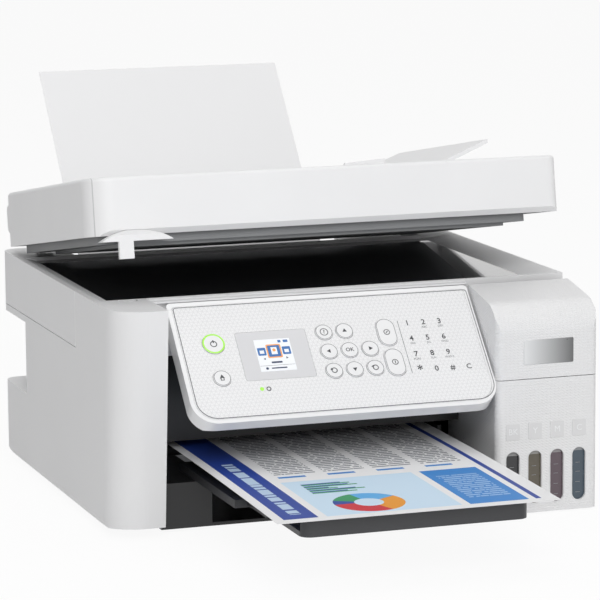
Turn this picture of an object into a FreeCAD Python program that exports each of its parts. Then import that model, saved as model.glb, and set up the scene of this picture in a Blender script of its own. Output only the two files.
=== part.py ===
import FreeCAD, Part
import math
import os

V = FreeCAD.Vector
X_AXIS = V(1, 0, 0)
Y_AXIS = V(0, 1, 0)
Z_AXIS = V(0, 0, 1)

# Millimetres. X to the right, Y to the rear, Z up. The origin is on the floor under the middle of the body.

# Whole body and general clearances
BODY_WIDTH = 375.0
BODY_DEPTH = 347.0
BODY_HEIGHT = 172.0
WALL = 2.5
SEAM = 0.5
RUN = 0.4
SEAT = 0.2
PIN_CLEAR = 0.05
CUT = 1.0
TINY = 0.001
LEFT = -BODY_WIDTH / 2
RIGHT = BODY_WIDTH / 2
FRONT = -BODY_DEPTH / 2
REAR = BODY_DEPTH / 2

# Feet and base
FOOT_HEIGHT = 3.0
FOOT_RADIUS = 8.0
FOOT_INSET = 36.0
FLOOR_THICK = 2.5
FLOOR_TOP = FOOT_HEIGHT + FLOOR_THICK
BASE_FRONT_OFFSET = 38.5
BASE_FRONT = FRONT + BASE_FRONT_OFFSET

# Outer housing: front pillar, flanks and rear wall
PILLAR_WIDTH = 40.5
PILLAR_TOP_SETBACK = 10.5
PILLAR_FOOT_SETBACK = 26.0
PILLAR_LIFT = 5.0
PILLAR_LIFT_LENGTH = 90.0
PILLAR_RETURN = 78.0
PLAN_CORNER = 26.0
REAR_CORNER = 12.0
FLANK_FOOT_RADIUS = 9.0
REAR_FOOT_RADIUS = 30.0
FLANK_SEAM_Z_SHARE = 0.75
FLANK_SEAM_Z = BODY_HEIGHT * FLANK_SEAM_Z_SHARE
FLANK_SEAM_Y_OFFSET = 121.0
FLANK_SEAM_Y = FRONT + FLANK_SEAM_Y_OFFSET
PILLAR_INNER = LEFT + PILLAR_WIDTH
NOTCH_DEPTH = 20.0
NOTCH_LENGTH = 74.0
NOTCH_LOW_SHARE = 0.5116
NOTCH_LOW = FLANK_SEAM_Z * NOTCH_LOW_SHARE
NOTCH_HIGH_OFFSET = 5.3
NOTCH_HIGH = FLANK_SEAM_Z - NOTCH_HIGH_OFFSET

# Ink tank bay at the front right
TANK_WIDTH = 82.5
TANK_DEPTH = 99.5
TANK_SEAM_Z_SHARE = 0.60465
TANK_SEAM_Z = BODY_HEIGHT * TANK_SEAM_Z_SHARE
TANK_FOOT = 1.5
TANK_CORNER = 5.5
TANK_LEFT = RIGHT - TANK_WIDTH
TANK_REAR = FRONT + TANK_DEPTH
TANK_COUNT = 4
TANK_PITCH = 18.0
TANK_FIRST_OFFSET = 13.2
TANK_FIRST = TANK_LEFT + TANK_FIRST_OFFSET
TANK_BODY_WIDTH = 16.6
TANK_BODY_LENGTH = 84.0
TANK_BODY_TOP_OFFSET = 8.0
TANK_BODY_TOP = TANK_SEAM_Z - TANK_BODY_TOP_OFFSET
WINDOW_WIDTH = 11.3
WINDOW_LOW = 8.4
WINDOW_HIGH = 49.4
PORT_RADIUS = 5.0
PORT_HEIGHT = 6.0
PORT_Y_OFFSET = 24.0
PORT_Y = FRONT + PORT_Y_OFFSET
CAP_RADIUS = 7.0
CAP_HEIGHT = 6.0
CAP_PIVOT_Y_OFFSET = 20.0
CAP_PIVOT_Y = PORT_Y + CAP_PIVOT_Y_OFFSET
CAP_PIN_RADIUS = 1.5
CAP_EAR = 2.0
CAP_ARM = 6.0
COVER_SLOPE = 11.0
COVER_REAR_OFFSET = 58.0
COVER_REAR = FRONT + COVER_REAR_OFFSET
COVER_TOP_OFFSET = 3.0
COVER_TOP = BODY_HEIGHT - COVER_TOP_OFFSET
COVER_BROW = 24.0
TANK_PIVOT_Y_OFFSET = 5.5
TANK_PIVOT_Y = COVER_REAR - TANK_PIVOT_Y_OFFSET
TANK_PIVOT_Z_OFFSET = 9.0
TANK_PIVOT_Z = COVER_TOP - TANK_PIVOT_Z_OFFSET
TANK_PIN_RADIUS = 2.5
TANK_EAR = 4.0
TANK_EAR_RADIUS = 4.5

# Paper path
PAPER_WIDTH = 210.0
PAPER_X = -20.0
PAPER_Z_SHARE = 0.32442
PAPER_Z = BODY_HEIGHT * PAPER_Z_SHARE
LEAN = 39.8
CHUTE_FOOT_Y_OFFSET = 81.0
CHUTE_FOOT_Y = REAR - CHUTE_FOOT_Y_OFFSET
CHUTE_FOOT_Z_OFFSET = 53.0
CHUTE_FOOT_Z = FLANK_SEAM_Z - CHUTE_FOOT_Z_OFFSET
CHUTE_LENGTH = 112.0
CHUTE_MARGIN = 13.0
CHUTE_HALF = PAPER_WIDTH / 2 + CHUTE_MARGIN
CHUTE_WALL_RISE = 10.0
CHUTE_CHEEK_RISE = 20.0
CHUTE_CHEEK_LENGTH = 42.0
CHUTE_WEB_LOW = 44.8
CHUTE_WEB_HIGH = 100.8
CHUTE_LEG_ALONG = 33.6
CHUTE_LEFT = PAPER_X - CHUTE_HALF
CHUTE_RIGHT = PAPER_X + CHUTE_HALF

# Scanner unit
SCANNER_FRONT_OFFSET = 67.5
SCANNER_FRONT = FRONT + SCANNER_FRONT_OFFSET
SCANNER_REAR_OFFSET = 30.0
SCANNER_REAR = CHUTE_FOOT_Y + SCANNER_REAR_OFFSET
ARM_CHAMFER = 8.0
SCANNER_PIVOT_Y_OFFSET = 7.5
SCANNER_PIVOT_Y = REAR - SCANNER_PIVOT_Y_OFFSET
SCANNER_PIVOT_Z_OFFSET = 5.0
SCANNER_PIVOT_Z = FLANK_SEAM_Z + SCANNER_PIVOT_Z_OFFSET
SCANNER_PIN_RADIUS = 3.0
SCANNER_EAR = 4.0
SCANNER_EAR_RADIUS = 6.0
GLASS_THICK = 3.0
GLASS_SINK = 2.5
GLASS_LEFT_OFFSET = 14.5
GLASS_LEFT = LEFT + GLASS_LEFT_OFFSET
GLASS_RIGHT_OFFSET = 29.0
GLASS_RIGHT = RIGHT - GLASS_RIGHT_OFFSET
GLASS_FRONT_OFFSET = 3.5
GLASS_FRONT = SCANNER_FRONT + GLASS_FRONT_OFFSET
GLASS_REAR_OFFSET = 4.0
GLASS_REAR = SCANNER_REAR - GLASS_REAR_OFFSET
GLASS_LEDGE = 5.0
RIM_EDGE = 2.5
RIM_END = 2.0
BED_TOP = 6.0
SCAN_BAR_WIDTH = 22.0
SCAN_BAR_HEIGHT = 14.0
SCAN_RAIL_RADIUS = 3.0

# Document cover with its feeder
COVER_OPEN = 9.6
LID_FRONT_OFFSET = 69.5
LID_FRONT = FRONT + LID_FRONT_OFFSET
LID_REAR_LOW_OFFSET = 25.0
LID_REAR_LOW = REAR - LID_REAR_LOW_OFFSET
LID_REAR_TOP_OFFSET = 34.0
LID_REAR_TOP = REAR - LID_REAR_TOP_OFFSET
LID_LOW_OFFSET = 6.6
LID_LOW = BODY_HEIGHT + LID_LOW_OFFSET
LID_TOP_OFFSET = 50.0
LID_TOP = BODY_HEIGHT + LID_TOP_OFFSET
LID_BEVEL = 4.0
LID_LEFT_CORNER = 20.0
LID_CORNER = 8.0
LID_EDGE = 3.0
LID_FRONT_WALL = 6.0
LID_PIVOT_Y_OFFSET = 32.5
LID_PIVOT_Y = REAR - LID_PIVOT_Y_OFFSET
LID_PIVOT_Z_OFFSET = 4.5
LID_PIVOT_Z = BODY_HEIGHT + LID_PIVOT_Z_OFFSET
LID_PIN_RADIUS = 3.0
LID_EAR = 6.0
LID_EAR_RADIUS = 4.0
LID_EAR_INSET = 21.5
LID_BUMP_DEPTH = 9.0
LID_BUMP_WIDTH = 37.0
LID_BUMP_ROUND = 5.4
LID_BUMP_LOW_OFFSET = 11.4
LID_BUMP_LOW = LID_LOW + LID_BUMP_LOW_OFFSET
LID_BUMP_HIGH_OFFSET = 33.4
LID_BUMP_HIGH = LID_LOW + LID_BUMP_HIGH_OFFSET
FRAME_LEFT_OFFSET = 9.5
FRAME_LEFT = LEFT + FRAME_LEFT_OFFSET
FRAME_RIGHT_OFFSET = 24.5
FRAME_RIGHT = RIGHT - FRAME_RIGHT_OFFSET
FRAME_FRONT_OFFSET = 10.0
FRAME_FRONT = LID_FRONT + FRAME_FRONT_OFFSET
FRAME_REAR_OFFSET = 8.0
FRAME_REAR = LID_PIVOT_Y - FRAME_REAR_OFFSET
FRAME_LOW_OFFSET = 0.5
FRAME_LOW = BODY_HEIGHT + FRAME_LOW_OFFSET
FRAME_CORNER = 6.0
MAT_THICK = 2.6
MAT_MARGIN = 13.0
GRIP_LEFT_OFFSET = 6.5
GRIP_LEFT = LEFT + GRIP_LEFT_OFFSET
GRIP_RIGHT_OFFSET = 61.5
GRIP_RIGHT = LEFT + GRIP_RIGHT_OFFSET
GRIP_REACH = 8.5
GRIP_LOW_OFFSET = 2.0
GRIP_LOW = BODY_HEIGHT + GRIP_LOW_OFFSET
GRIP_CROWN = 8.4
STUB_LEFT_OFFSET = 19.5
STUB_LEFT = LEFT + STUB_LEFT_OFFSET
STUB_WIDTH = 11.0
STUB_DEPTH = 4.0
STUB_LOW_OFFSET = 11.0
STUB_LOW = BODY_HEIGHT - STUB_LOW_OFFSET
STUB_ROOM = 2.0

# Document feeder on the cover
HATCH_LEFT_OFFSET = 11.5
HATCH_LEFT = LEFT + HATCH_LEFT_OFFSET
HATCH_RIGHT_OFFSET = 114.0
HATCH_RIGHT = HATCH_LEFT + HATCH_RIGHT_OFFSET
HATCH_FRONT_OFFSET = 12.0
HATCH_FRONT = LID_FRONT + HATCH_FRONT_OFFSET
HATCH_REAR_OFFSET = 9.5
HATCH_REAR = LID_REAR_TOP - HATCH_REAR_OFFSET
HATCH_DEPTH = 8.0
HATCH_CORNER = 6.0
HATCH_PIVOT = 5.0
HATCH_PIN_RADIUS = 2.0
HATCH_PIN_SINK = 4.2
TRAY_FLOOR_OFFSET = 19.0
TRAY_FLOOR = LID_TOP - TRAY_FLOOR_OFFSET
TRAY_END_OFFSET = 37.5
TRAY_END = RIGHT - TRAY_END_OFFSET
TRAY_START_Z_OFFSET = 10.0
TRAY_START_Z = LID_TOP - TRAY_START_Z_OFFSET
TRAY_KNEE_X_OFFSET = 92.5
TRAY_KNEE_X = RIGHT - TRAY_KNEE_X_OFFSET
TRAY_KNEE_Z_OFFSET = 1.5
TRAY_KNEE_Z = LID_TOP - TRAY_KNEE_Z_OFFSET
TRAY_TIP_X_OFFSET = 51.5
TRAY_TIP_X = RIGHT - TRAY_TIP_X_OFFSET
TRAY_TIP_Z_OFFSET = 15.0
TRAY_TIP_Z = LID_TOP + TRAY_TIP_Z_OFFSET
TRAY_THICK = 3.0
TRAY_REAR_OFFSET = 6.0
TRAY_REAR = HATCH_REAR - TRAY_REAR_OFFSET
TRAY_TAPER_LENGTH = 86.0
TRAY_TAPER = 22.0
TRAY_GAP = 5.0
TRAY_PIN_RADIUS = 1.4
TRAY_PIN_SETBACK = 3.0
FEED_WELL_LENGTH = 80.0
FEED_WELL_WIDTH = 36.0
FEED_WELL_FLOOR_OFFSET = 26.0
FEED_WELL_FLOOR = LID_TOP - FEED_WELL_FLOOR_OFFSET
FEED_ROLLER_RADIUS = 8.0
FEED_ROLLER_LENGTH = 46.0
FEED_SHAFT_RADIUS = 3.0
GUIDE_LENGTH = 36.0
GUIDE_START = 15.0
GUIDE_RISE = 8.0
GUIDE_THICK = 3.0

# Control panel, drawn upright and then tilted back
PANEL_LEFT_OFFSET = 12.0
PANEL_LEFT = PILLAR_INNER + PANEL_LEFT_OFFSET
PANEL_RIGHT_OFFSET = 1.5
PANEL_RIGHT = TANK_LEFT - PANEL_RIGHT_OFFSET
PANEL_LENGTH = 106.0
PANEL_TILT = 43.0
PANEL_TOP_Y_OFFSET = 58.6
PANEL_TOP_Y = FRONT + PANEL_TOP_Y_OFFSET
PANEL_TOP_Z_OFFSET = 3.3
PANEL_TOP_Z = BODY_HEIGHT - PANEL_TOP_Z_OFFSET
PANEL_THICK = 13.0
PANEL_TOP_THICK = 5.0
PANEL_TAPER = 16.0
PANEL_LOW_CORNER = 19.0
PANEL_TOP_CORNER = 3.0
PANEL_RIM = 3.6
PANEL_POCKETS = 4
PANEL_POCKET_EDGE = 18.0
FACE_THICK = 2.0
FACE_LOW_CORNER = 15.5
PANEL_PIVOT_DOWN = 10.0
PANEL_PIVOT_BACK = 7.0
PANEL_PIN_RADIUS = 2.0
PANEL_EAR = 4.0
PANEL_EAR_RADIUS = 3.6
PANEL_EAR_INSET = 8.0
BEAM_PLATE = 2.5
BEAM_STRIP = 7.0
BEAM_STRIP_THICK = 2.5
BUTTON_RADIUS = 6.75
POWER_RADIUS = 8.5
BUTTON_PROUD = 0.8
BUTTON_GAP = 0.3
BUTTON_FLANGE = 0.8
BUTTON_FLANGE_THICK = 1.0
BUTTON_TRAVEL = 0.6
LONG_KEY_WIDTH = 15.0
LONG_KEY_HEIGHT = 24.0
PAD_INSET = 131.6
PAD_U = PANEL_LEFT + PAD_INSET
PAD_V = 51.2
PAD_STEP_U = 16.2
PAD_STEP_V = 17.0
SIDE_KEY_INSET = 28.5
SIDE_KEY_U = PANEL_LEFT + SIDE_KEY_INSET
POWER_V = 38.0
HOME_V = 68.0
LONG_KEY_INSET = 164.2
LONG_KEY_U = PANEL_LEFT + LONG_KEY_INSET
STOP_V = 38.0
START_V = 64.7
SCREEN_INSET = 73.8
SCREEN_U = PANEL_LEFT + SCREEN_INSET
SCREEN_V = 50.6
SCREEN_WIDTH = 54.5
SCREEN_HEIGHT = 42.0
SCREEN_CORNER = 2.0
SCREEN_THICK = 1.6

# Print mechanism
FEED_Y_OFFSET = 59.5
FEED_Y = CHUTE_FOOT_Y - FEED_Y_OFFSET
DRIVE_Z_OFFSET = 5.8
DRIVE_Z = PAPER_Z - DRIVE_Z_OFFSET
GEAR_MODULE = 1.5
FEED_TEETH = 28
IDLER_TEETH = 46
EXIT_TEETH = 20
PINION_TEETH = 14
PINION_ANGLE = 40.0
GEAR_WIDTH = 5.0
GEAR_BACKLASH = 0.3
PRESSURE_ANGLE = 20.0
ADDENDUM = 0.9
DEDENDUM = 1.25
FLANK_SHARES = (0.0, 0.5, 1.0)
IDLER_WINDOWS = 6
IDLER_WINDOW_REACH = 19.0
IDLER_WINDOW_RADIUS = 6.9
GEAR_X_OFFSET = 19.5
GEAR_X = LEFT + GEAR_X_OFFSET
SHAFT_RADIUS = 3.0
FEED_ROLL_RADIUS = 5.5
EXIT_ROLL_RADIUS = 5.3
IDLER_PIN_RADIUS = 2.5
BEARING_LEFT_OFFSET = 1.5
BEARING_LEFT = GEAR_X + GEAR_WIDTH + BEARING_LEFT_OFFSET
BEARING_THICK = 3.0
BEARING_RIGHT_OFFSET = 5.0
BEARING_RIGHT = PAPER_X + PAPER_WIDTH / 2 + BEARING_RIGHT_OFFSET
BEARING_FRONT_OFFSET = 123.0
BEARING_FRONT = FEED_Y - BEARING_FRONT_OFFSET
BEARING_REAR_OFFSET = 39.0
BEARING_REAR = FEED_Y + BEARING_REAR_OFFSET
BEARING_MARGIN = 4.8
PLATEN_FRONT_OFFSET = 77.0
PLATEN_FRONT = FEED_Y - PLATEN_FRONT_OFFSET
PLATEN_REAR_OFFSET = 9.0
PLATEN_REAR = FEED_Y - PLATEN_REAR_OFFSET
PLATEN_THICK = 6.0
PLATEN_RIB = 2.0
PLATEN_RIB_PITCH = 20.0
PLATEN_LEG = 10.0
RAIL_Y_OFFSET = 17.0
RAIL_Y = FEED_Y + RAIL_Y_OFFSET
RAIL_SHEET = 1.5
RAIL_LOW_SHARE = 0.66
RAIL_LOW = FLANK_SEAM_Z * RAIL_LOW_SHARE
RAIL_HIGH_OFFSET = 7.5
RAIL_HIGH = FLANK_SEAM_Z - RAIL_HIGH_OFFSET
RAIL_FLANGE = 11.0
RAIL_LEFT_OFFSET = 12.0
RAIL_LEFT = LEFT + RAIL_LEFT_OFFSET
RAIL_RIGHT_OFFSET = 9.5
RAIL_RIGHT = RIGHT - RAIL_RIGHT_OFFSET
RAIL_LEG_DEPTH = 24.0
CARRIAGE_WIDTH = 76.0
CARRIAGE_HOME_OFFSET = 49.5
CARRIAGE_HOME = RIGHT - CARRIAGE_HOME_OFFSET
CARRIAGE_FRONT_OFFSET = 71.0
CARRIAGE_FRONT = FEED_Y - CARRIAGE_FRONT_OFFSET
CARRIAGE_LOW_OFFSET = 6.2
CARRIAGE_LOW = PAPER_Z + CARRIAGE_LOW_OFFSET
CARRIAGE_HIGH_OFFSET = 7.5
CARRIAGE_HIGH = RAIL_HIGH - CARRIAGE_HIGH_OFFSET
HEAD_WIDTH = 46.0
HEAD_LENGTH = 40.0
HEAD_DROP = 3.5
CARRIAGE_CELLS = 4
PULLEY_RADIUS = 5.5
PULLEY_FLANGE = 7.0
PULLEY_Y_OFFSET = 16.0
PULLEY_Y = RAIL_Y + PULLEY_Y_OFFSET
BELT_THICK = 1.4
BELT_LOW_OFFSET = 12.5
BELT_LOW = RAIL_HIGH - BELT_LOW_OFFSET
BELT_HIGH_OFFSET = 5.0
BELT_HIGH = BELT_LOW + BELT_HIGH_OFFSET
BELT_GAP = 0.3
PULLEY_LEFT_OFFSET = 24.0
PULLEY_LEFT = LEFT + PULLEY_LEFT_OFFSET
PULLEY_RIGHT_OFFSET = 24.0
PULLEY_RIGHT = RIGHT - PULLEY_RIGHT_OFFSET
PULLEY_PIN_RADIUS = 1.5
MOTOR_RADIUS = 12.0
MOTOR_LENGTH = 17.0
FEED_MOTOR_RADIUS = 11.0
CAPPING_HEIGHT = 12.0
ARM_THICK = 3.0
ARM_WIDTH = 12.0

# Output tray
EXIT_ROOF_OFFSET = 53.0
EXIT_ROOF_FRONT = PLATEN_FRONT - EXIT_ROOF_OFFSET
EXIT_ROOF_DEPTH = 34.0
EXIT_ROOF_LOW_OFFSET = 5.2
EXIT_ROOF_LOW = PAPER_Z + EXIT_ROOF_LOW_OFFSET
EXIT_FIN_PITCH = 24.0
EXIT_FIN = 2.0
FIN_HEIGHT = 8.0
TRAY_WIDTH = 200.0
TRAY_FRONT = -230.0
TRAY_LENGTH = 135.0
TRAY_LOW_OFFSET = 12.0
TRAY_LOW = DRIVE_Z - TRAY_LOW_OFFSET
TRAY_HIGH_OFFSET = 6.0
TRAY_HIGH = TRAY_LOW + TRAY_HIGH_OFFSET
TRAY_DECK = 2.0
TRAY_RAIL = 13.0
TRAY_TONGUE = 3.0
TRAY_TONGUE_LENGTH = 60.0
SLIDE_WIDTH = 169.0
SLIDE_FRONT = -333.5
SLIDE_LENGTH = 122.0
SLIDE_LIP = 6.0
SLIDE_LIP_HIGH_OFFSET = 11.0
SLIDE_LIP_HIGH = TRAY_LOW + SLIDE_LIP_HIGH_OFFSET
SLIDE_CORNER = 8.0
LEDGE_HIGH = TRAY_LOW - RUN
LEDGE_BLOCK_LEFT_OFFSET = 4.0
LEDGE_BLOCK_LEFT = PILLAR_INNER + LEDGE_BLOCK_LEFT_OFFSET
LEDGE_REAR_OFFSET = 10.0
LEDGE_REAR = PLATEN_FRONT + LEDGE_REAR_OFFSET

# Sheets of paper
SHEET_LENGTH = 297.0
SHEET_THICK = 0.2
SHEET_LIFT = 0.3
PAGE_SINK = 0.1
PAGE_RISE = 4.3
PAGE_BEND = 0.9
PAGE_STEPS = 12
PAGE_REAR = PLATEN_FRONT - SEAM
PAGE_FRONT = PAGE_REAR - SHEET_LENGTH

# Rear paper support and edge guides
SUPPORT_WIDTH = 118.0
SUPPORT_START = 60.0
SUPPORT_END = 190.0
SUPPORT_THICK = 2.5
SUPPORT_GAP = 0.6
SUPPORT_CORNER = 14.0
EXTENDER_WIDTH = 96.0
EXTENDER_START = 140.0
EXTENDER_END = 275.0
EXTENDER_THICK = 2.4
STACK_GAP = 0.3
EDGE_GUIDE_START = 26.0
EDGE_GUIDE_END = 100.0
EDGE_GUIDE_RISE = 9.0
EDGE_GUIDE_THICK = 2.5
EDGE_GUIDE_ROOM = 0.6
PICKUP_RADIUS = 15.0
PICKUP_WIDTH = 42.0
PICKUP_ALONG = 28.0
PICKUP_SHAFT_RADIUS = 3.0

# Electrics
BOARD_WIDTH = 76.0
BOARD_DEPTH = 92.0
BOARD_THICK = 1.6
BOARD_LIFT = 24.5
BOARD_RIGHT_OFFSET = 12.0
BOARD_RIGHT = RIGHT - BOARD_RIGHT_OFFSET
SOCKET_LENGTH = 16.0
SOCKET_SIZES = ((12.0, 11.0), (16.0, 13.5))
SOCKET_GAP = 5.0
SUPPLY_WIDTH = 96.0
SUPPLY_DEPTH = 72.0
SUPPLY_HEIGHT = 40.0
SUPPLY_LEFT_OFFSET = 60.0
SUPPLY_LEFT = LEFT + SUPPLY_LEFT_OFFSET
INLET_WIDTH = 20.0
INLET_HEIGHT = 14.0
INLET_LIFT = 30.0
INLET_WELL = 9.0
SUPPLY_SKIN = 1.5


def box(x0, x1, y0, y1, z0, z1):
    """A block between two corners."""
    return Part.makeBox(x1 - x0, y1 - y0, z1 - z0, V(x0, y0, z0))


def rod_x(radius, x0, x1, y, z):
    """A round bar along X."""
    return Part.makeCylinder(radius, x1 - x0, V(x0, y, z), X_AXIS)


def rod_y(radius, y0, y1, x, z):
    """A round bar along Y."""
    return Part.makeCylinder(radius, y1 - y0, V(x, y0, z), Y_AXIS)


def rod_z(radius, x, y, z0, z1):
    """A round bar along Z."""
    return Part.makeCylinder(radius, z1 - z0, V(x, y, z0), Z_AXIS)


def slab_yz(points, x0, x1):
    """An outline in the side view, pulled along X."""
    outline = [V(x0, y, z) for y, z in points]
    face = Part.Face(Part.makePolygon(outline + outline[:1]))
    return face.extrude(V(x1 - x0, 0, 0))


def slab_xz(points, y0, y1):
    """An outline in the front view, pulled along Y."""
    outline = [V(x, y0, z) for x, z in points]
    face = Part.Face(Part.makePolygon(outline + outline[:1]))
    return face.extrude(V(0, y1 - y0, 0))


def slab_xy(points, z0, z1):
    """An outline in the top view, pulled along Z."""
    outline = [V(x, y, z0) for x, y in points]
    face = Part.Face(Part.makePolygon(outline + outline[:1]))
    return face.extrude(V(0, 0, z1 - z0))


def rounded_wire(corners, radii, place):
    """A closed outline of straight runs joined by arcs, with one radius for each corner."""
    edges = []
    count = len(corners)
    ends = []
    for i in range(count):
        here = V(corners[i][0], corners[i][1], 0)
        back = (V(corners[i - 1][0], corners[i - 1][1], 0) - here).normalize()
        ahead = (V(corners[(i + 1) % count][0], corners[(i + 1) % count][1], 0) - here).normalize()
        half_turn = back.getAngle(ahead) / 2
        reach = radii[i] / math.tan(half_turn)
        bisector = (back + ahead).normalize()
        middle = here + bisector * (radii[i] / math.sin(half_turn) - radii[i])
        ends.append((here + back * reach, middle, here + ahead * reach))
    for i in range(count):
        start, middle, stop = ends[i]
        edges.append(Part.Arc(place(start), place(middle), place(stop)).toShape())
        onward = ends[(i + 1) % count][0]
        if stop.distanceToPoint(onward) > TINY:
            edges.append(Part.LineSegment(place(stop), place(onward)).toShape())
    return Part.Wire(edges)


def rounded_plan(x0, x1, y0, y1, radii, z):
    """A rounded rectangle lying flat at one height, radii from the front left, counter-clockwise."""
    corners = ((x0, y0), (x1, y0), (x1, y1), (x0, y1))
    return rounded_wire(corners, radii, lambda p: V(p.x, p.y, z))


def rounded_block(x0, x1, y0, y1, z0, z1, radii):
    """A block with rounded upright edges."""
    return Part.Face(rounded_plan(x0, x1, y0, y1, radii, z0)).extrude(V(0, 0, z1 - z0))


def upright_block(x0, x1, z0, z1, y0, y1, radii):
    """A block with rounded edges along Y, radii from the lower left, counter-clockwise."""
    corners = ((x0, z0), (x1, z0), (x1, z1), (x0, z1))
    wire = rounded_wire(corners, radii, lambda p: V(p.x, y0, p.y))
    return Part.Face(wire).extrude(V(0, y1 - y0, 0))


def join(*shapes):
    """Several touching solids as one."""
    return shapes[0].multiFuse(list(shapes[1:])).removeSplitter()


def less(shape, *tools):
    """A solid with other solids taken out of it."""
    return shape.cut(list(tools))


def group(*shapes):
    """Separate solids that share a node."""
    return Part.makeCompound(list(shapes))


def save(node, shape):
    """Write one node."""
    shape.exportStep("parts/" + node + ".step")


def front_at(z):
    """Y of the leaning front of the body at a height."""
    share = (z - FOOT_HEIGHT) / (BODY_HEIGHT - FOOT_HEIGHT)
    return FRONT + PILLAR_FOOT_SETBACK + (PILLAR_TOP_SETBACK - PILLAR_FOOT_SETBACK) * share


def body_block(inset, low, high):
    """The moulded outer form of the body, or its inside when inset by a wall."""
    radii = (PLAN_CORNER - inset, PLAN_CORNER - inset, REAR_CORNER - inset, REAR_CORNER - inset)
    rings = []
    for z in (low, high):
        front = front_at(z) + inset
        rings.append(rounded_plan(LEFT + inset, RIGHT - inset, front, REAR - inset, radii, z))
    block = Part.makeLoft(rings, True, True)
    foot = FOOT_HEIGHT + inset
    flank = FLANK_FOOT_RADIUS - inset
    ends = upright_block(
        LEFT + inset, RIGHT - inset, foot, BODY_HEIGHT * 2, FRONT * 2, REAR * 2, (flank, flank, SEAM, SEAM)
    )
    tail = REAR_FOOT_RADIUS - inset
    rear = REAR - inset
    high_up = BODY_HEIGHT * 2
    corners = ((FRONT * 2, foot), (rear, foot), (rear, high_up), (FRONT * 2, high_up))
    side = Part.Face(rounded_wire(corners, (SEAM, tail, SEAM, SEAM), lambda p: V(LEFT * 2, p.x, p.y)))
    return block.common(ends).common(side.extrude(V(BODY_WIDTH * 2, 0, 0)))


def scanner_space(gap):
    """Room that the scanner unit takes out of the body, grown by a gap."""
    behind = box(LEFT - CUT, RIGHT + CUT, FLANK_SEAM_Y - gap, REAR + CUT, FLANK_SEAM_Z, BODY_HEIGHT + CUT)
    nest = box(LEFT + WALL, RIGHT + CUT, SCANNER_FRONT - gap, REAR + CUT, FLANK_SEAM_Z, BODY_HEIGHT + CUT)
    return join(behind, nest)


def notch_block(grow):
    """The recess at the rear left, grown by a wall for the inside."""
    return box(
        LEFT - CUT, LEFT + NOTCH_DEPTH + grow, REAR - NOTCH_LENGTH - grow, REAR + CUT,
        NOTCH_LOW - grow, NOTCH_HIGH + grow,
    )


def stub_pocket():
    """The hole in the pillar's deck that takes the stub of the cover's grip."""
    front = LID_FRONT - GRIP_REACH - STUB_ROOM / 2
    return box(
        STUB_LEFT - STUB_ROOM, STUB_LEFT + STUB_WIDTH + STUB_ROOM, front,
        front + STUB_DEPTH + STUB_ROOM * 2, STUB_LOW - STUB_ROOM, BODY_HEIGHT + CUT,
    )


def socket_places():
    """Left edge, width and height of each socket along the board's rear edge."""
    places = []
    x = BOARD_RIGHT - BOARD_WIDTH + SOCKET_GAP
    for width, height in SOCKET_SIZES:
        places.append((x, width, height))
        x += width + SOCKET_GAP
    return places


def outer_housing():
    """Left pillar, both flanks and the rear wall, one moulded shell open at the bottom and the front."""
    outer = less(body_block(0, FOOT_HEIGHT, BODY_HEIGHT), notch_block(0))
    inner = less(body_block(WALL, FOOT_HEIGHT, BODY_HEIGHT - WALL), notch_block(WALL))
    floor_hole = box(
        LEFT + FLANK_FOOT_RADIUS, RIGHT - FLANK_FOOT_RADIUS, FRONT, REAR - REAR_FOOT_RADIUS,
        FOOT_HEIGHT - CUT, FLOOR_TOP + CUT,
    )
    lift = slab_yz(
        (
            (FRONT, FOOT_HEIGHT - CUT),
            (FRONT + PILLAR_FOOT_SETBACK + PILLAR_LIFT_LENGTH, FOOT_HEIGHT),
            (FRONT + PILLAR_FOOT_SETBACK, FOOT_HEIGHT + PILLAR_LIFT),
            (FRONT, FOOT_HEIGHT + PILLAR_LIFT),
        ),
        LEFT - CUT, PILLAR_INNER + CUT,
    )
    front_gap = box(
        PILLAR_INNER, RIGHT + CUT, FRONT - CUT, TANK_REAR + SEAM, FOOT_HEIGHT - CUT, BODY_HEIGHT + CUT
    )
    returning = box(
        PILLAR_INNER - WALL, PILLAR_INNER, FRONT, FRONT + PILLAR_RETURN, FOOT_HEIGHT, BODY_HEIGHT
    ).common(outer)
    shell = join(less(outer, inner, front_gap), returning)
    holes = [scanner_space(SEAM), floor_hole, lift, stub_pocket()]
    for x, width, height in socket_places():
        low = FLOOR_TOP + BOARD_LIFT + BOARD_THICK
        holes.append(
            box(x - SEAM, x + width + SEAM, REAR - WALL - CUT, REAR + CUT, low - SEAM, low + height + SEAM)
        )
    inlet_x = SUPPLY_LEFT + SUPPLY_WIDTH / 2
    holes.append(
        box(
            inlet_x - INLET_WIDTH / 2 - SEAM, inlet_x + INLET_WIDTH / 2 + SEAM,
            REAR - WALL - CUT, REAR + CUT, INLET_LIFT - SEAM, INLET_LIFT + INLET_HEIGHT + SEAM,
        )
    )
    return less(shell, *holes)


def bearing_plate(x0, rear_top):
    """A side wall of the base that carries the roller shafts, taller at the rear to hold a motor."""
    low_top = DRIVE_Z + SHAFT_RADIUS * 2
    return slab_yz(
        (
            (BEARING_FRONT, FLOOR_TOP),
            (BEARING_REAR, FLOOR_TOP),
            (BEARING_REAR, rear_top),
            (FEED_Y + FEED_ROLL_RADIUS, rear_top),
            (FEED_Y - FEED_ROLL_RADIUS, low_top),
            (BEARING_FRONT, low_top),
        ),
        x0, x0 + BEARING_THICK,
    )


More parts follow.
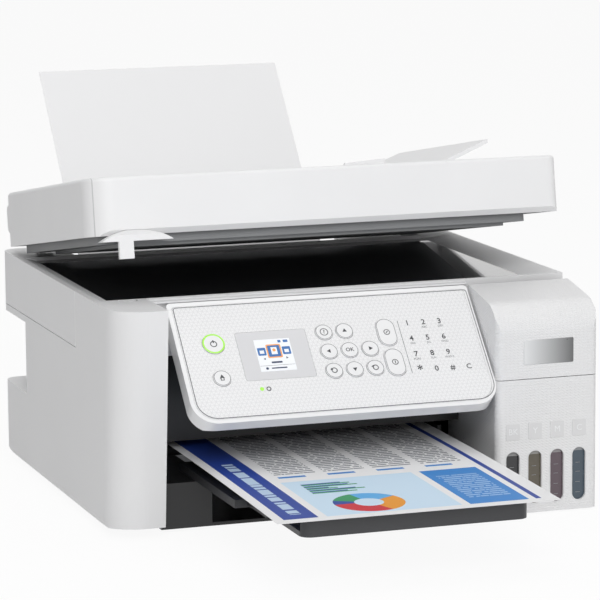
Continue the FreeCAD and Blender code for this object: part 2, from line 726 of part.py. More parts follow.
FEED_PITCH = GEAR_MODULE * FEED_TEETH / 2
IDLER_PITCH = GEAR_MODULE * IDLER_TEETH / 2
EXIT_PITCH = GEAR_MODULE * EXIT_TEETH / 2
PINION_PITCH = GEAR_MODULE * PINION_TEETH / 2
IDLER_Y = FEED_Y - FEED_PITCH - IDLER_PITCH
EXIT_Y = IDLER_Y - IDLER_PITCH - EXIT_PITCH
PINION_Y = FEED_Y + (FEED_PITCH + PINION_PITCH) * math.cos(math.radians(PINION_ANGLE))
PINION_Z = DRIVE_Z + (FEED_PITCH + PINION_PITCH) * math.sin(math.radians(PINION_ANGLE))
BEARING_TOP = PINION_Z + BEARING_MARGIN


def base_tray():
    """Black base: floor, tray ledges and the two bearing walls."""
    side = FLANK_FOOT_RADIUS + SEAM
    floor_rear = REAR - REAR_FOOT_RADIUS - SEAM
    floor = box(LEFT + side, RIGHT - side, BASE_FRONT, floor_rear, FOOT_HEIGHT, FLOOR_TOP)
    bay = box(TANK_LEFT - SEAM, RIGHT, FRONT, TANK_REAR + SEAM, 0, BODY_HEIGHT)
    pillar_foot = box(LEFT, PILLAR_INNER + SEAM, FRONT, BEARING_FRONT, 0, BODY_HEIGHT)
    tray_left = PAPER_X - TRAY_WIDTH / 2
    tray_right = PAPER_X + TRAY_WIDTH / 2
    left_ledge = box(
        LEDGE_BLOCK_LEFT, tray_left + TRAY_RAIL, BASE_FRONT, LEDGE_REAR, FOOT_HEIGHT, LEDGE_HIGH
    )
    right_ledge = box(
        tray_right - TRAY_RAIL, TANK_LEFT - SEAM, BASE_FRONT, LEDGE_REAR, FOOT_HEIGHT, LEDGE_HIGH
    )
    hollow_left = box(
        LEDGE_BLOCK_LEFT + WALL, tray_left + TRAY_RAIL - WALL, BASE_FRONT + WALL, LEDGE_REAR - WALL,
        FOOT_HEIGHT - CUT, LEDGE_HIGH - WALL,
    )
    hollow_right = box(
        tray_right - TRAY_RAIL + WALL, TANK_LEFT - SEAM - WALL, BASE_FRONT + WALL, LEDGE_REAR - WALL,
        FOOT_HEIGHT - CUT, LEDGE_HIGH - WALL,
    )
    left_plate = bearing_plate(BEARING_LEFT, BEARING_TOP)
    right_plate = bearing_plate(BEARING_RIGHT, DRIVE_Z + SHAFT_RADIUS * 2)
    solid = join(less(floor, pillar_foot), left_ledge, right_ledge, left_plate, right_plate)
    solid = less(solid, bay, hollow_left, hollow_right)
    bore = SHAFT_RADIUS + PIN_CLEAR
    bores = [rod_x(bore, LEFT, RIGHT, y, DRIVE_Z) for y in (FEED_Y, EXIT_Y)]
    bores.append(rod_x(IDLER_PIN_RADIUS + PIN_CLEAR, LEFT, PAPER_X, IDLER_Y, DRIVE_Z))
    bores.append(rod_x(SHAFT_RADIUS, LEFT, PAPER_X, PINION_Y, PINION_Z))
    return less(solid, *bores)


def rubber_feet():
    """Round feet under the base: one near each corner and one in the middle."""
    places = (
        ((LEFT + RIGHT) / 2, (FRONT + REAR) / 2),
        (LEFT + FOOT_INSET, REAR - FOOT_INSET),
        (RIGHT - FOOT_INSET, REAR - FOOT_INSET),
        (LEFT + FOOT_INSET, BEARING_FRONT + FOOT_RADIUS * 2),
        (RIGHT - FOOT_INSET, TANK_REAR + FOOT_RADIUS * 2),
    )
    return group(*[rod_z(FOOT_RADIUS, x, y, 0, FOOT_HEIGHT) for x, y in places])


def tank_centres():
    """X of each ink tank, from left to right."""
    return [TANK_FIRST + i * TANK_PITCH for i in range(TANK_COUNT)]


def tank_housing():
    """White case round the ink tanks, with a window for each and ears for the hinged cover."""
    radii = (TANK_CORNER, TANK_CORNER, SEAM, SEAM)
    inner_radii = (TANK_CORNER - WALL, TANK_CORNER - WALL, SEAM, SEAM)
    lower = rounded_block(TANK_LEFT, RIGHT, FRONT, TANK_REAR, TANK_FOOT, TANK_SEAM_Z, radii)
    shoulder = box(TANK_LEFT, RIGHT, COVER_REAR + SEAM, TANK_REAR, TANK_SEAM_Z - CUT, FLANK_SEAM_Z - SEAM)
    inside = rounded_block(
        TANK_LEFT + WALL, RIGHT - WALL, FRONT + WALL, TANK_REAR - WALL, TANK_FOOT + WALL, TANK_SEAM_Z + CUT,
        inner_radii,
    )
    under = box(
        TANK_LEFT + WALL, RIGHT - WALL, COVER_REAR + SEAM + WALL, TANK_REAR - WALL, TANK_SEAM_Z,
        FLANK_SEAM_Z - SEAM - WALL,
    )
    case = less(join(lower, shoulder), inside, under)
    windows = []
    half = WINDOW_WIDTH / 2
    for x in tank_centres():
        windows.append(
            upright_block(
                x - half, x + half, WINDOW_LOW, WINDOW_HIGH, FRONT - CUT, FRONT + WALL + CUT,
                (half - SEAT, half - SEAT, half - SEAT, half - SEAT),
            )
        )
    pieces = [less(case, *windows)]
    for x0 in (TANK_LEFT + WALL + RUN, RIGHT - WALL - RUN - TANK_EAR):
        post = box(
            x0, x0 + TANK_EAR, TANK_PIVOT_Y - TANK_EAR_RADIUS, TANK_PIVOT_Y + TANK_EAR_RADIUS,
            TANK_SEAM_Z, TANK_PIVOT_Z,
        )
        web_rear = COVER_REAR + SEAM + WALL
        web = box(x0, x0 + TANK_EAR, TANK_PIVOT_Y, web_rear, TANK_SEAM_Z, FLANK_SEAM_Z - SEAM)
        eye = rod_x(TANK_EAR_RADIUS, x0, x0 + TANK_EAR, TANK_PIVOT_Y, TANK_PIVOT_Z)
        pieces.append(join(post, web, eye))
    bore = rod_x(TANK_PIN_RADIUS + PIN_CLEAR, TANK_LEFT, RIGHT, TANK_PIVOT_Y, TANK_PIVOT_Z)
    return less(join(*pieces), bore)


def cover_block(inset, rear):
    """The sloping form of the tank cover, or its inside when inset by a wall."""
    front = FRONT + inset
    slope = math.tan(math.radians(COVER_SLOPE))
    lift = inset / math.cos(math.radians(COVER_SLOPE))
    foot = TANK_SEAM_Z + SEAM - (CUT if inset else 0)
    corners = (
        (front, foot),
        (rear, foot),
        (rear, COVER_TOP - lift - (COVER_REAR - rear) * slope),
        (front, COVER_TOP - lift - (COVER_REAR - front) * slope),
    )
    x0 = TANK_LEFT + inset
    wire = rounded_wire(corners, (SEAT, SEAT, SEAT, COVER_BROW - inset), lambda p: V(x0, p.x, p.y))
    return Part.Face(wire).extrude(V(TANK_WIDTH - inset * 2, 0, 0))


def tank_cover():
    """Hinged cover over the filler caps, open below and behind."""
    outer = cover_block(0, COVER_REAR)
    corner = rounded_block(
        TANK_LEFT, RIGHT, FRONT, REAR, 0, BODY_HEIGHT * 2, (TANK_CORNER, TANK_CORNER, SEAM, SEAM)
    )
    shell = less(outer.common(corner), cover_block(WALL, COVER_REAR + CUT))
    reach = RUN + TANK_EAR
    left_pin = rod_x(TANK_PIN_RADIUS, TANK_LEFT + WALL, TANK_LEFT + WALL + reach, TANK_PIVOT_Y, TANK_PIVOT_Z)
    right_pin = rod_x(TANK_PIN_RADIUS, RIGHT - WALL - reach, RIGHT - WALL, TANK_PIVOT_Y, TANK_PIVOT_Z)
    return join(shell, left_pin, right_pin)


def ink_tanks():
    """Four narrow tanks, each with a filler port and two ears for its cap."""
    tanks = []
    low = TANK_FOOT + WALL
    for x in tank_centres():
        half = TANK_BODY_WIDTH / 2
        front = FRONT + WALL + SEAT
        body = box(x - half, x + half, front, front + TANK_BODY_LENGTH, low, TANK_BODY_TOP)
        port = rod_z(PORT_RADIUS, x, PORT_Y, TANK_BODY_TOP - CUT, TANK_BODY_TOP + PORT_HEIGHT)
        throat = rod_z(PORT_RADIUS - WALL / 2, x, PORT_Y, TANK_BODY_TOP, TANK_BODY_TOP + PORT_HEIGHT + CUT)
        ears = []
        for side in (-1, 1):
            inner = x + side * (CAP_ARM / 2 + RUN)
            outer = inner + side * CAP_EAR
            x0 = min(inner, outer)
            ears.append(
                box(
                    x0, x0 + CAP_EAR, CAP_PIVOT_Y - CAP_EAR * 2, CAP_PIVOT_Y + CAP_EAR * 2,
                    TANK_BODY_TOP - CUT, CAP_PIVOT_Z + CAP_EAR * 2,
                )
            )
        bore = rod_x(CAP_PIN_RADIUS + PIN_CLEAR, x - half, x + half, CAP_PIVOT_Y, CAP_PIVOT_Z)
        tanks.append(less(join(body, port, *ears), throat, bore))
    return group(*tanks)


CAP_LOW = TANK_BODY_TOP + PORT_HEIGHT + RUN
CAP_PIVOT_Z = CAP_LOW + CAP_HEIGHT / 2


def tank_cap(x):
    """One filler cap: a plug head on a short arm with a cross pin."""
    head = rod_z(CAP_RADIUS, x, PORT_Y, CAP_LOW, CAP_LOW + CAP_HEIGHT)
    plug = rod_z(PORT_RADIUS - WALL / 2 - RUN, x, PORT_Y, CAP_LOW - CUT, CAP_LOW + SEAT)
    arm = box(
        x - CAP_ARM / 2, x + CAP_ARM / 2, PORT_Y, CAP_PIVOT_Y,
        CAP_PIVOT_Z - CAP_PIN_RADIUS, CAP_PIVOT_Z + CAP_PIN_RADIUS,
    )
    reach = CAP_ARM / 2 + RUN + CAP_EAR
    pin = rod_x(CAP_PIN_RADIUS, x - reach, x + reach, CAP_PIVOT_Y, CAP_PIVOT_Z)
    lip = Part.makeTorus(CAP_RADIUS, SEAM, V(x, PORT_Y, CAP_PIVOT_Z), Z_AXIS)
    return join(head, plug, arm, pin, lip)


def panel_place(shape):
    """Tilt an upright panel piece back and set it on the front of the body."""
    placed = shape.copy()
    placed.rotate(V(0, 0, 0), X_AXIS, -PANEL_TILT)
    placed.translate(V(0, PANEL_TOP_Y, PANEL_TOP_Z))
    return placed


def panel_point(down, back):
    """Body-frame Y and Z of a point on the panel, measured down its face and back from it."""
    tilt = math.radians(PANEL_TILT)
    y = PANEL_TOP_Y - down * math.sin(tilt) + back * math.cos(tilt)
    z = PANEL_TOP_Z - down * math.cos(tilt) - back * math.sin(tilt)
    return y, z


def panel_ears():
    """Left edge of each hinge ear that the beam puts into the panel."""
    return (PANEL_LEFT + PANEL_EAR_INSET, PANEL_RIGHT - PANEL_EAR_INSET - PANEL_EAR)


def keys():
    """Name, place across, place down, width and height of each key on the panel."""
    round_key = BUTTON_RADIUS * 2
    power = POWER_RADIUS * 2
    rows = [("power_button", SIDE_KEY_U, POWER_V, power, power)]
    rows.append(("home_button", SIDE_KEY_U, HOME_V, round_key, round_key))
    pad = (
        ("help_button", -1, -1),
        ("up_button", 0, -1),
        ("left_button", -1, 0),
        ("ok_button", 0, 0),
        ("right_button", 1, 0),
        ("back_button", -1, 1),
        ("down_button", 0, 1),
        ("mode_button", 1, 1),
    )
    for name, across, down in pad:
        rows.append((name, PAD_U + across * PAD_STEP_U, PAD_V + down * PAD_STEP_V, round_key, round_key))
    rows.append(("stop_button", LONG_KEY_U, STOP_V, LONG_KEY_WIDTH, LONG_KEY_HEIGHT))
    rows.append(("start_button", LONG_KEY_U, START_V, LONG_KEY_WIDTH, LONG_KEY_HEIGHT))
    return rows


def key_block(row, grow, y0, y1):
    """A key's upright outline, grown all round, between two depths behind the face."""
    name, u, v, width, height = row
    half = width / 2 + grow
    tall = height / 2 + grow
    if width == height:
        return rod_y(half, y0, y1, u, -v)
    radii = (half - SEAT, half - SEAT, half - SEAT, half - SEAT)
    return upright_block(u - half, u + half, -v - tall, -v + tall, y0, y1, radii)


def panel_case():
    """White back shell of the panel, with the rim that frames the face."""
    profile = slab_yz(
        (
            (0, 0),
            (PANEL_TOP_THICK, 0),
            (PANEL_THICK, -PANEL_TAPER),
            (PANEL_THICK, -PANEL_LENGTH + PANEL_TOP_CORNER),
            (PANEL_THICK - PANEL_TOP_CORNER, -PANEL_LENGTH),
            (0, -PANEL_LENGTH),
        ),
        PANEL_LEFT, PANEL_RIGHT,
    )
    low = PANEL_LOW_CORNER
    top = PANEL_TOP_CORNER
    outline = upright_block(
        PANEL_LEFT, PANEL_RIGHT, -PANEL_LENGTH, 0, -CUT, PANEL_THICK + CUT, (low, low, top, top)
    )
    case = profile.common(outline)
    seat = face_block(SEAT, -CUT, FACE_THICK)
    well_depth = FACE_THICK + BUTTON_FLANGE_THICK + BUTTON_TRAVEL + RUN
    wells = [key_block(row, BUTTON_FLANGE + RUN, FACE_THICK - SEAT, well_depth) for row in keys()]
    tools = [seat] + wells
    span = (PANEL_RIGHT - PANEL_LEFT - PANEL_POCKET_EDGE * 2) / PANEL_POCKETS
    for i in range(PANEL_POCKETS):
        x0 = PANEL_LEFT + PANEL_POCKET_EDGE + i * span
        tools.append(
            box(
                x0 + WALL / 2, x0 + span - WALL / 2, well_depth + WALL, PANEL_THICK + CUT,
                -PANEL_LENGTH + PANEL_LOW_CORNER / 2, -PANEL_TAPER - PANEL_EAR_RADIUS * 2,
            )
        )
    pins = []
    for x0 in panel_ears():
        tools.append(
            box(
                x0 - RUN, x0 + PANEL_EAR + RUN, FACE_THICK + SEAM, PANEL_THICK + CUT,
                -PANEL_PIVOT_DOWN - PANEL_EAR_RADIUS * 3, CUT,
            )
        )
        reach = RUN + CUT
        pins.append(
            rod_x(PANEL_PIN_RADIUS, x0 - reach, x0 + PANEL_EAR + reach, PANEL_PIVOT_BACK, -PANEL_PIVOT_DOWN)
        )
    return join(less(case, *tools), *pins)


def face_block(inset, y0, y1):
    """The face plate's outline, set in from the panel's rim."""
    low = FACE_LOW_CORNER
    top = PANEL_TOP_CORNER - SEAM
    edge = PANEL_RIM - inset
    return upright_block(
        PANEL_LEFT + edge, PANEL_RIGHT - edge, -PANEL_LENGTH + edge, -edge, y0, y1, (low, low, top, top)
    )


def screen_block(grow, y0, y1):
    """The display window's outline."""
    half = SCREEN_WIDTH / 2 + grow
    tall = SCREEN_HEIGHT / 2 + grow
    radii = (SCREEN_CORNER, SCREEN_CORNER, SCREEN_CORNER, SCREEN_CORNER)
    return upright_block(SCREEN_U - half, SCREEN_U + half, -SCREEN_V - tall, -SCREEN_V + tall, y0, y1, radii)


def panel_face():
    """Front plate of the panel, with a hole for each key and a recess for the display."""
    holes = [key_block(row, BUTTON_GAP, -CUT, FACE_THICK + CUT) for row in keys()]
    holes.append(screen_block(SEAT, -CUT, SCREEN_THICK))
    return less(face_block(0, 0, FACE_THICK), *holes)


def panel_key(row):
    """One key: its cap stands proud of the face, its flange sits behind the face."""
    cap = key_block(row, 0, -BUTTON_PROUD, FACE_THICK + SEAT + CUT / 2)
    flange = key_block(row, BUTTON_FLANGE, FACE_THICK + SEAT, FACE_THICK + SEAT + BUTTON_FLANGE_THICK)
    return join(cap, flange)


def front_beam():
    """Cross beam behind the panel: upright plate, top strip and the hinge ears."""
    x0 = PILLAR_INNER + SEAT
    x1 = TANK_LEFT - SEAM
    rear = SCANNER_FRONT - SEAM
    high = BODY_HEIGHT - SEAM
    low = FLANK_SEAM_Z - SEAM
    plate = box(x0, x1, rear - BEAM_PLATE, rear, low, high)
    strip = slab_yz(
        (
            (rear, high),
            (rear - BEAM_STRIP, high - BEAM_STRIP_THICK / 2),
            (rear - BEAM_STRIP, high - BEAM_STRIP_THICK),
            (rear, high - BEAM_STRIP_THICK * 2),
        ),
        x0, x1,
    )
    pivot_y, pivot_z = panel_point(PANEL_PIVOT_DOWN, PANEL_PIVOT_BACK)
    pieces = [plate, strip]
    for ear_x in panel_ears():
        eye = rod_x(PANEL_EAR_RADIUS, ear_x, ear_x + PANEL_EAR, pivot_y, pivot_z)
        web = slab_yz(
            (
                (pivot_y, pivot_z - PANEL_EAR_RADIUS),
                (rear - BEAM_PLATE / 2, pivot_z - PANEL_EAR_RADIUS * 2),
                (rear - BEAM_PLATE / 2, pivot_z),
                (pivot_y, pivot_z + SEAT),
            ),
            ear_x, ear_x + PANEL_EAR,
        )
        pieces.append(join(eye, web))
    bore = rod_x(PANEL_PIN_RADIUS + PIN_CLEAR, PANEL_LEFT, PANEL_RIGHT, pivot_y, pivot_z)
    return less(join(*pieces), bore)


def scanner_case():
    """Lifting scanner unit: a shallow tub with two rear arms, a glass seat and a rail for the sensor bar."""
    low = FLANK_SEAM_Z + SEAM
    outer = body_block(0, low, BODY_HEIGHT).common(scanner_space(-SEAT))
    main = outer.common(box(LEFT - CUT, RIGHT + CUT, SCANNER_FRONT, REAR + CUT, low, BODY_HEIGHT))
    feed_gap = box(
        CHUTE_LEFT - SEAM * 4, CHUTE_RIGHT + SEAM * 4, SCANNER_REAR, REAR + CUT, low - CUT, BODY_HEIGHT + CUT
    )
    chamfer = slab_yz(
        (
            (REAR + CUT, low - CUT),
            (REAR + CUT, low + ARM_CHAMFER + CUT),
            (REAR - ARM_CHAMFER - CUT, low - CUT),
        ),
        LEFT - CUT, RIGHT + CUT,
    )
    shell = less(main, feed_gap, chamfer)
    inside = box(
        LEFT + WALL * 2 + SEAM, RIGHT - WALL, SCANNER_FRONT + WALL, SCANNER_REAR - WALL,
        low + WALL, BODY_HEIGHT - BED_TOP,
    )
    glass_top = BODY_HEIGHT - GLASS_SINK
    low_ring = rectangle(GLASS_LEFT, GLASS_RIGHT, GLASS_FRONT, GLASS_REAR, glass_top)
    high_ring = rectangle(
        LEFT + WALL + RIM_EDGE, RIGHT - RIM_EDGE, SCANNER_FRONT + RIM_END, SCANNER_REAR - RIM_END,
        BODY_HEIGHT,
    )
    slope = Part.makeLoft([Part.makePolygon(low_ring), Part.makePolygon(high_ring)], True, True)
    seat = box(GLASS_LEFT, GLASS_RIGHT, GLASS_FRONT, GLASS_REAR, glass_top - GLASS_THICK, glass_top + SEAT)
    view = box(
        GLASS_LEFT + GLASS_LEDGE, GLASS_RIGHT - GLASS_LEDGE,
        GLASS_FRONT + GLASS_LEDGE, GLASS_REAR - GLASS_LEDGE, BODY_HEIGHT - BED_TOP - CUT, glass_top,
    )
    tub = less(shell, inside, slope, seat, view)
    bed_y = (GLASS_FRONT + GLASS_REAR) / 2
    rail = rod_x(SCAN_RAIL_RADIUS, LEFT + WALL * 2, RIGHT - WALL + SEAT, bed_y, SCAN_RAIL_Z)
    pins = []
    pin_reach = SEAM * 4 + SCANNER_EAR
    for x0 in (CHUTE_LEFT - SEAM * 4 - SEAT, CHUTE_RIGHT - SCANNER_EAR + SEAT):
        pins.append(rod_x(SCANNER_PIN_RADIUS, x0, x0 + pin_reach, SCANNER_PIVOT_Y, SCANNER_PIVOT_Z))
    ears = []
    for x0 in lid_ears():
        eye = rod_x(LID_EAR_RADIUS, x0, x0 + LID_EAR, LID_PIVOT_Y, LID_PIVOT_Z)
        stem = box(
            x0, x0 + LID_EAR, LID_PIVOT_Y - LID_EAR_RADIUS, LID_PIVOT_Y + LID_EAR_RADIUS,
            BODY_HEIGHT - CUT, LID_PIVOT_Z,
        )
        ears.append(join(eye, stem))
    bore = rod_x(LID_PIN_RADIUS + PIN_CLEAR, LEFT, RIGHT, LID_PIVOT_Y, LID_PIVOT_Z)
    return less(join(tub, rail, *pins, *ears), bore)


SCAN_RAIL_Z = FLANK_SEAM_Z + SEAM + WALL + SCAN_RAIL_RADIUS * 3


def rectangle(x0, x1, y0, y1, z):
    """Corner points of a flat rectangle, closed."""
    points = [V(x0, y0, z), V(x1, y0, z), V(x1, y1, z), V(x0, y1, z)]
    return points + points[:1]


def lid_ears():
    """Left edge of each ear that carries the document cover."""
    return (LEFT + LID_EAR_INSET, FRAME_RIGHT - LID_EAR - LID_EAR_RADIUS * 2)


def scanner_glass():
    """The flat glass that documents lie on."""
    top = BODY_HEIGHT - GLASS_SINK
    return box(
        GLASS_LEFT + SEAT, GLASS_RIGHT - SEAT, GLASS_FRONT + SEAT, GLASS_REAR - SEAT, top - GLASS_THICK, top
    )


def scan_bar():
    """Sensor bar under the glass, on its round rail at the left end of its travel."""
    x0 = GLASS_LEFT + GLASS_LEDGE
    y0 = GLASS_FRONT + GLASS_LEDGE
    y1 = GLASS_REAR - GLASS_LEDGE
    bed_y = (GLASS_FRONT + GLASS_REAR) / 2
    top = BODY_HEIGHT - BED_TOP - RUN
    bar = box(x0, x0 + SCAN_BAR_WIDTH, y0, y1, top - SCAN_BAR_HEIGHT, top)
    saddle = box(
        x0, x0 + SCAN_BAR_WIDTH, bed_y - SCAN_RAIL_RADIUS * 2, bed_y + SCAN_RAIL_RADIUS * 2,
        SCAN_RAIL_Z - SCAN_RAIL_RADIUS * 2, top - CUT,
    )
    lens_x = x0 + SCAN_BAR_WIDTH / 2
    lens = box(lens_x - WALL, lens_x + WALL, y0 + WALL, y1 - WALL, top - CUT, top + CUT)
    bore = rod_x(SCAN_RAIL_RADIUS + PIN_CLEAR, LEFT, RIGHT, bed_y, SCAN_RAIL_Z)
    return less(join(bar, saddle), bore, lens)


def lid_place(shape):
    """Turn a piece of the document cover from closed to its open rest place."""
    placed = shape.copy()
    placed.rotate(V(0, LID_PIVOT_Y, LID_PIVOT_Z), X_AXIS, -COVER_OPEN)
    return placed


def lid_block(inset, low, high):
    """The outer form of the document cover, or its inside when inset."""
    front = LID_FRONT + (LID_FRONT_WALL if inset else 0)
    radii = [LID_LEFT_CORNER - inset] + [LID_CORNER - inset] * 3
    plan = rounded_block(LEFT + inset, RIGHT - inset, front, LID_REAR_LOW - inset, low, high, radii)
    lean = (LID_REAR_LOW - LID_REAR_TOP) / (LID_TOP - LID_LOW)
    side = slab_yz(
        (
            (front, low),
            (LID_REAR_LOW - inset - (low - LID_LOW) * lean, low),
            (LID_REAR_LOW - inset - (high - LID_LOW) * lean, high),
            (front, high),
        ),
        LEFT, RIGHT,
    )
    return plan.common(side)


def hatch_well(grow):
    """Pocket in the cover's top for the feeder hatch."""
    return box(
        HATCH_LEFT - grow, HATCH_RIGHT + grow, HATCH_FRONT - grow, HATCH_REAR + grow,
        LID_TOP - HATCH_DEPTH - grow, LID_TOP + CUT,
    )


def tray_well(grow):
    """Pocket in the cover's top where fed documents come out, under the input tray."""
    return box(
        HATCH_RIGHT - CUT - grow, TRAY_END + grow, HATCH_FRONT - grow, HATCH_REAR + grow,
        TRAY_FLOOR - grow, LID_TOP + CUT,
    )


def roller_well(grow):
    """Deeper pocket under the hatch that holds the feed roller."""
    middle = (HATCH_FRONT + HATCH_REAR) / 2
    half = FEED_WELL_LENGTH / 2 + grow
    return box(
        HATCH_RIGHT - FEED_WELL_WIDTH - grow, HATCH_RIGHT - SEAM + grow, middle - half, middle + half,
        FEED_WELL_FLOOR - grow, LID_TOP,
    )


FEED_ROLLER_X = HATCH_RIGHT - FEED_WELL_WIDTH / 2
FEED_ROLLER_Z = FEED_WELL_FLOOR + FEED_ROLLER_RADIUS + CUT
HATCH_PIN_X = HATCH_LEFT + HATCH_PIVOT
HATCH_PIN_Z = LID_TOP - HATCH_PIN_SINK
TRAY_START_X = HATCH_RIGHT + TRAY_GAP
TRAY_PIN_X = TRAY_START_X + TRAY_PIN_SETBACK
TRAY_PIN_Z = TRAY_START_Z - TRAY_THICK / 2


def document_cover():
    """Deep white cover over the glass, hollow below, with the feeder's pockets in its top."""
    outer = lid_block(0, LID_LOW, LID_TOP)
    rim = [e for e in outer.Edges if min(v.Z for v in e.Vertexes) > LID_TOP - SEAT]
    outer = outer.makeFillet(LID_EDGE, rim)
    bevel = slab_yz(
        (
            (LID_FRONT - CUT, LID_LOW - CUT),
            (LID_FRONT + LID_BEVEL + CUT, LID_LOW - CUT),
            (LID_FRONT - CUT, LID_LOW + LID_BEVEL + CUT),
        ),
        LEFT - CUT, RIGHT + CUT,
    )
    inside = less(
        lid_block(WALL, LID_LOW - CUT, LID_TOP - WALL), hatch_well(WALL), tray_well(WALL), roller_well(WALL)
    )
    reach = LID_REAR_LOW + LID_BUMP_DEPTH
    corners = (
        (LID_REAR_TOP, LID_BUMP_LOW),
        (reach, LID_BUMP_LOW),
        (reach, LID_BUMP_HIGH),
        (LID_REAR_TOP, LID_BUMP_HIGH),
    )
    bump_radii = (SEAM, LID_BUMP_ROUND, LID_BUMP_ROUND, SEAM)
    bump_wire = rounded_wire(corners, bump_radii, lambda p: V(LEFT + WALL, p.x, p.y))
    bump = less(Part.Face(bump_wire).extrude(V(LID_BUMP_WIDTH, 0, 0)), inside)
    shell = less(join(less(outer, inside), bump), bevel, hatch_well(0), tray_well(0), roller_well(0))
    bores = [
        rod_y(HATCH_PIN_RADIUS + PIN_CLEAR, HATCH_FRONT - WALL, HATCH_REAR + WALL, HATCH_PIN_X, HATCH_PIN_Z),
        rod_y(TRAY_PIN_RADIUS + PIN_CLEAR, HATCH_FRONT - WALL, HATCH_REAR + WALL, TRAY_PIN_X, TRAY_PIN_Z),
    ]
    middle = (HATCH_FRONT + HATCH_REAR) / 2
    half = FEED_WELL_LENGTH / 2 + WALL
    bores.append(
        rod_y(FEED_SHAFT_RADIUS + PIN_CLEAR, middle - half, middle + half, FEED_ROLLER_X, FEED_ROLLER_Z)
    )
    return less(shell, *bores)


def cover_frame():
    """Inner frame of the document cover: a shallow tub with hinge lugs, and the white mat under it."""
    top = TRAY_FLOOR - WALL - SEAT
    corner = [FRAME_CORNER] * 4
    inner = [FRAME_CORNER - WALL] * 4
    outer = rounded_block(FRAME_LEFT, FRAME_RIGHT, FRAME_FRONT, FRAME_REAR, FRAME_LOW, top, corner)
    inside = rounded_block(
        FRAME_LEFT + WALL, FRAME_RIGHT - WALL, FRAME_FRONT + WALL, FRAME_REAR - WALL,
        FRAME_LOW + WALL, top + CUT, inner,
    )
    pieces = [less(outer, inside)]
    for x0 in lid_ears():
        lug_x = x0 + LID_EAR + RUN
        eye = rod_x(LID_EAR_RADIUS, lug_x, lug_x + LID_EAR, LID_PIVOT_Y, LID_PIVOT_Z)
        arm = box(
            lug_x, lug_x + LID_EAR, FRAME_REAR - CUT, LID_PIVOT_Y,
            LID_PIVOT_Z - LID_EAR_RADIUS + SEAT, LID_PIVOT_Z + LID_EAR_RADIUS - SEAT,
        )
        pin = rod_x(LID_PIN_RADIUS, x0 - CUT, lug_x + LID_EAR, LID_PIVOT_Y, LID_PIVOT_Z)
        pieces.append(join(eye, arm, pin))
    mat = box(
        GLASS_LEFT + MAT_MARGIN, GLASS_RIGHT - MAT_MARGIN, GLASS_FRONT + MAT_MARGIN, GLASS_REAR - MAT_MARGIN,
        FRAME_LOW - MAT_THICK, FRAME_LOW,
    )
    return group(join(*pieces), mat)


def cover_grip():
    """White grip lip under the cover's front left corner, with the stub that drops into the deck."""
    front = LID_FRONT - GRIP_REACH
    seat = LID_LOW - SEAT
    lip = slab_yz(
        (
            (front, GRIP_LOW),
            (LID_FRONT + LID_BEVEL, GRIP_LOW),
            (LID_FRONT + LID_BEVEL, seat),
            (LID_FRONT - SEAT, LID_LOW + LID_BEVEL - SEAM),
            (front, LID_LOW),
        ),
        GRIP_LEFT, GRIP_RIGHT,
    )
    middle = (GRIP_LEFT + GRIP_RIGHT) / 2
    start = V(GRIP_LEFT, front - CUT, GRIP_LOW)
    crown = V(middle, front - CUT, GRIP_LOW + GRIP_CROWN)
    stop = V(GRIP_RIGHT, front - CUT, GRIP_LOW)
    edges = [Part.Arc(start, crown, stop).toShape(), Part.LineSegment(stop, start).toShape()]
    bow = Part.Face(Part.Wire(edges)).extrude(V(0, GRIP_REACH + LID_BEVEL + CUT * 2, 0))
    stub = box(STUB_LEFT, STUB_LEFT + STUB_WIDTH, front, front + STUB_DEPTH, STUB_LOW, GRIP_LOW + CUT)
    return join(lip.common(bow), stub)


def adf_hatch():
    """Feeder hatch at the left of the cover's top, hinged at its left edge."""
    x0 = HATCH_PIN_X - HATCH_PIN_RADIUS
    x1 = HATCH_RIGHT - RUN
    y0 = HATCH_FRONT + RUN
    y1 = HATCH_REAR - RUN
    low = LID_TOP - HATCH_DEPTH + RUN
    square = [SEAM, HATCH_CORNER, HATCH_CORNER, SEAM]
    lid = rounded_block(x0, x1, y0, y1, low, LID_TOP, square)
    under = box(x0 - CUT, HATCH_PIN_X, y0 - CUT, y1 + CUT, low - CUT, HATCH_PIN_Z)
    knuckle = rod_y(HATCH_PIN_Z - low, y0, y1, HATCH_PIN_X, HATCH_PIN_Z)
    inside = box(
        x0 + HATCH_PIVOT, x1 - WALL, y0 + WALL, y1 - WALL, low - CUT, LID_TOP - WALL
    )
    reach = WALL - SEAT
    pins = rod_y(HATCH_PIN_RADIUS, HATCH_FRONT - reach, HATCH_REAR + reach, HATCH_PIN_X, HATCH_PIN_Z)
    return join(less(lid, inside, under), knuckle, pins)


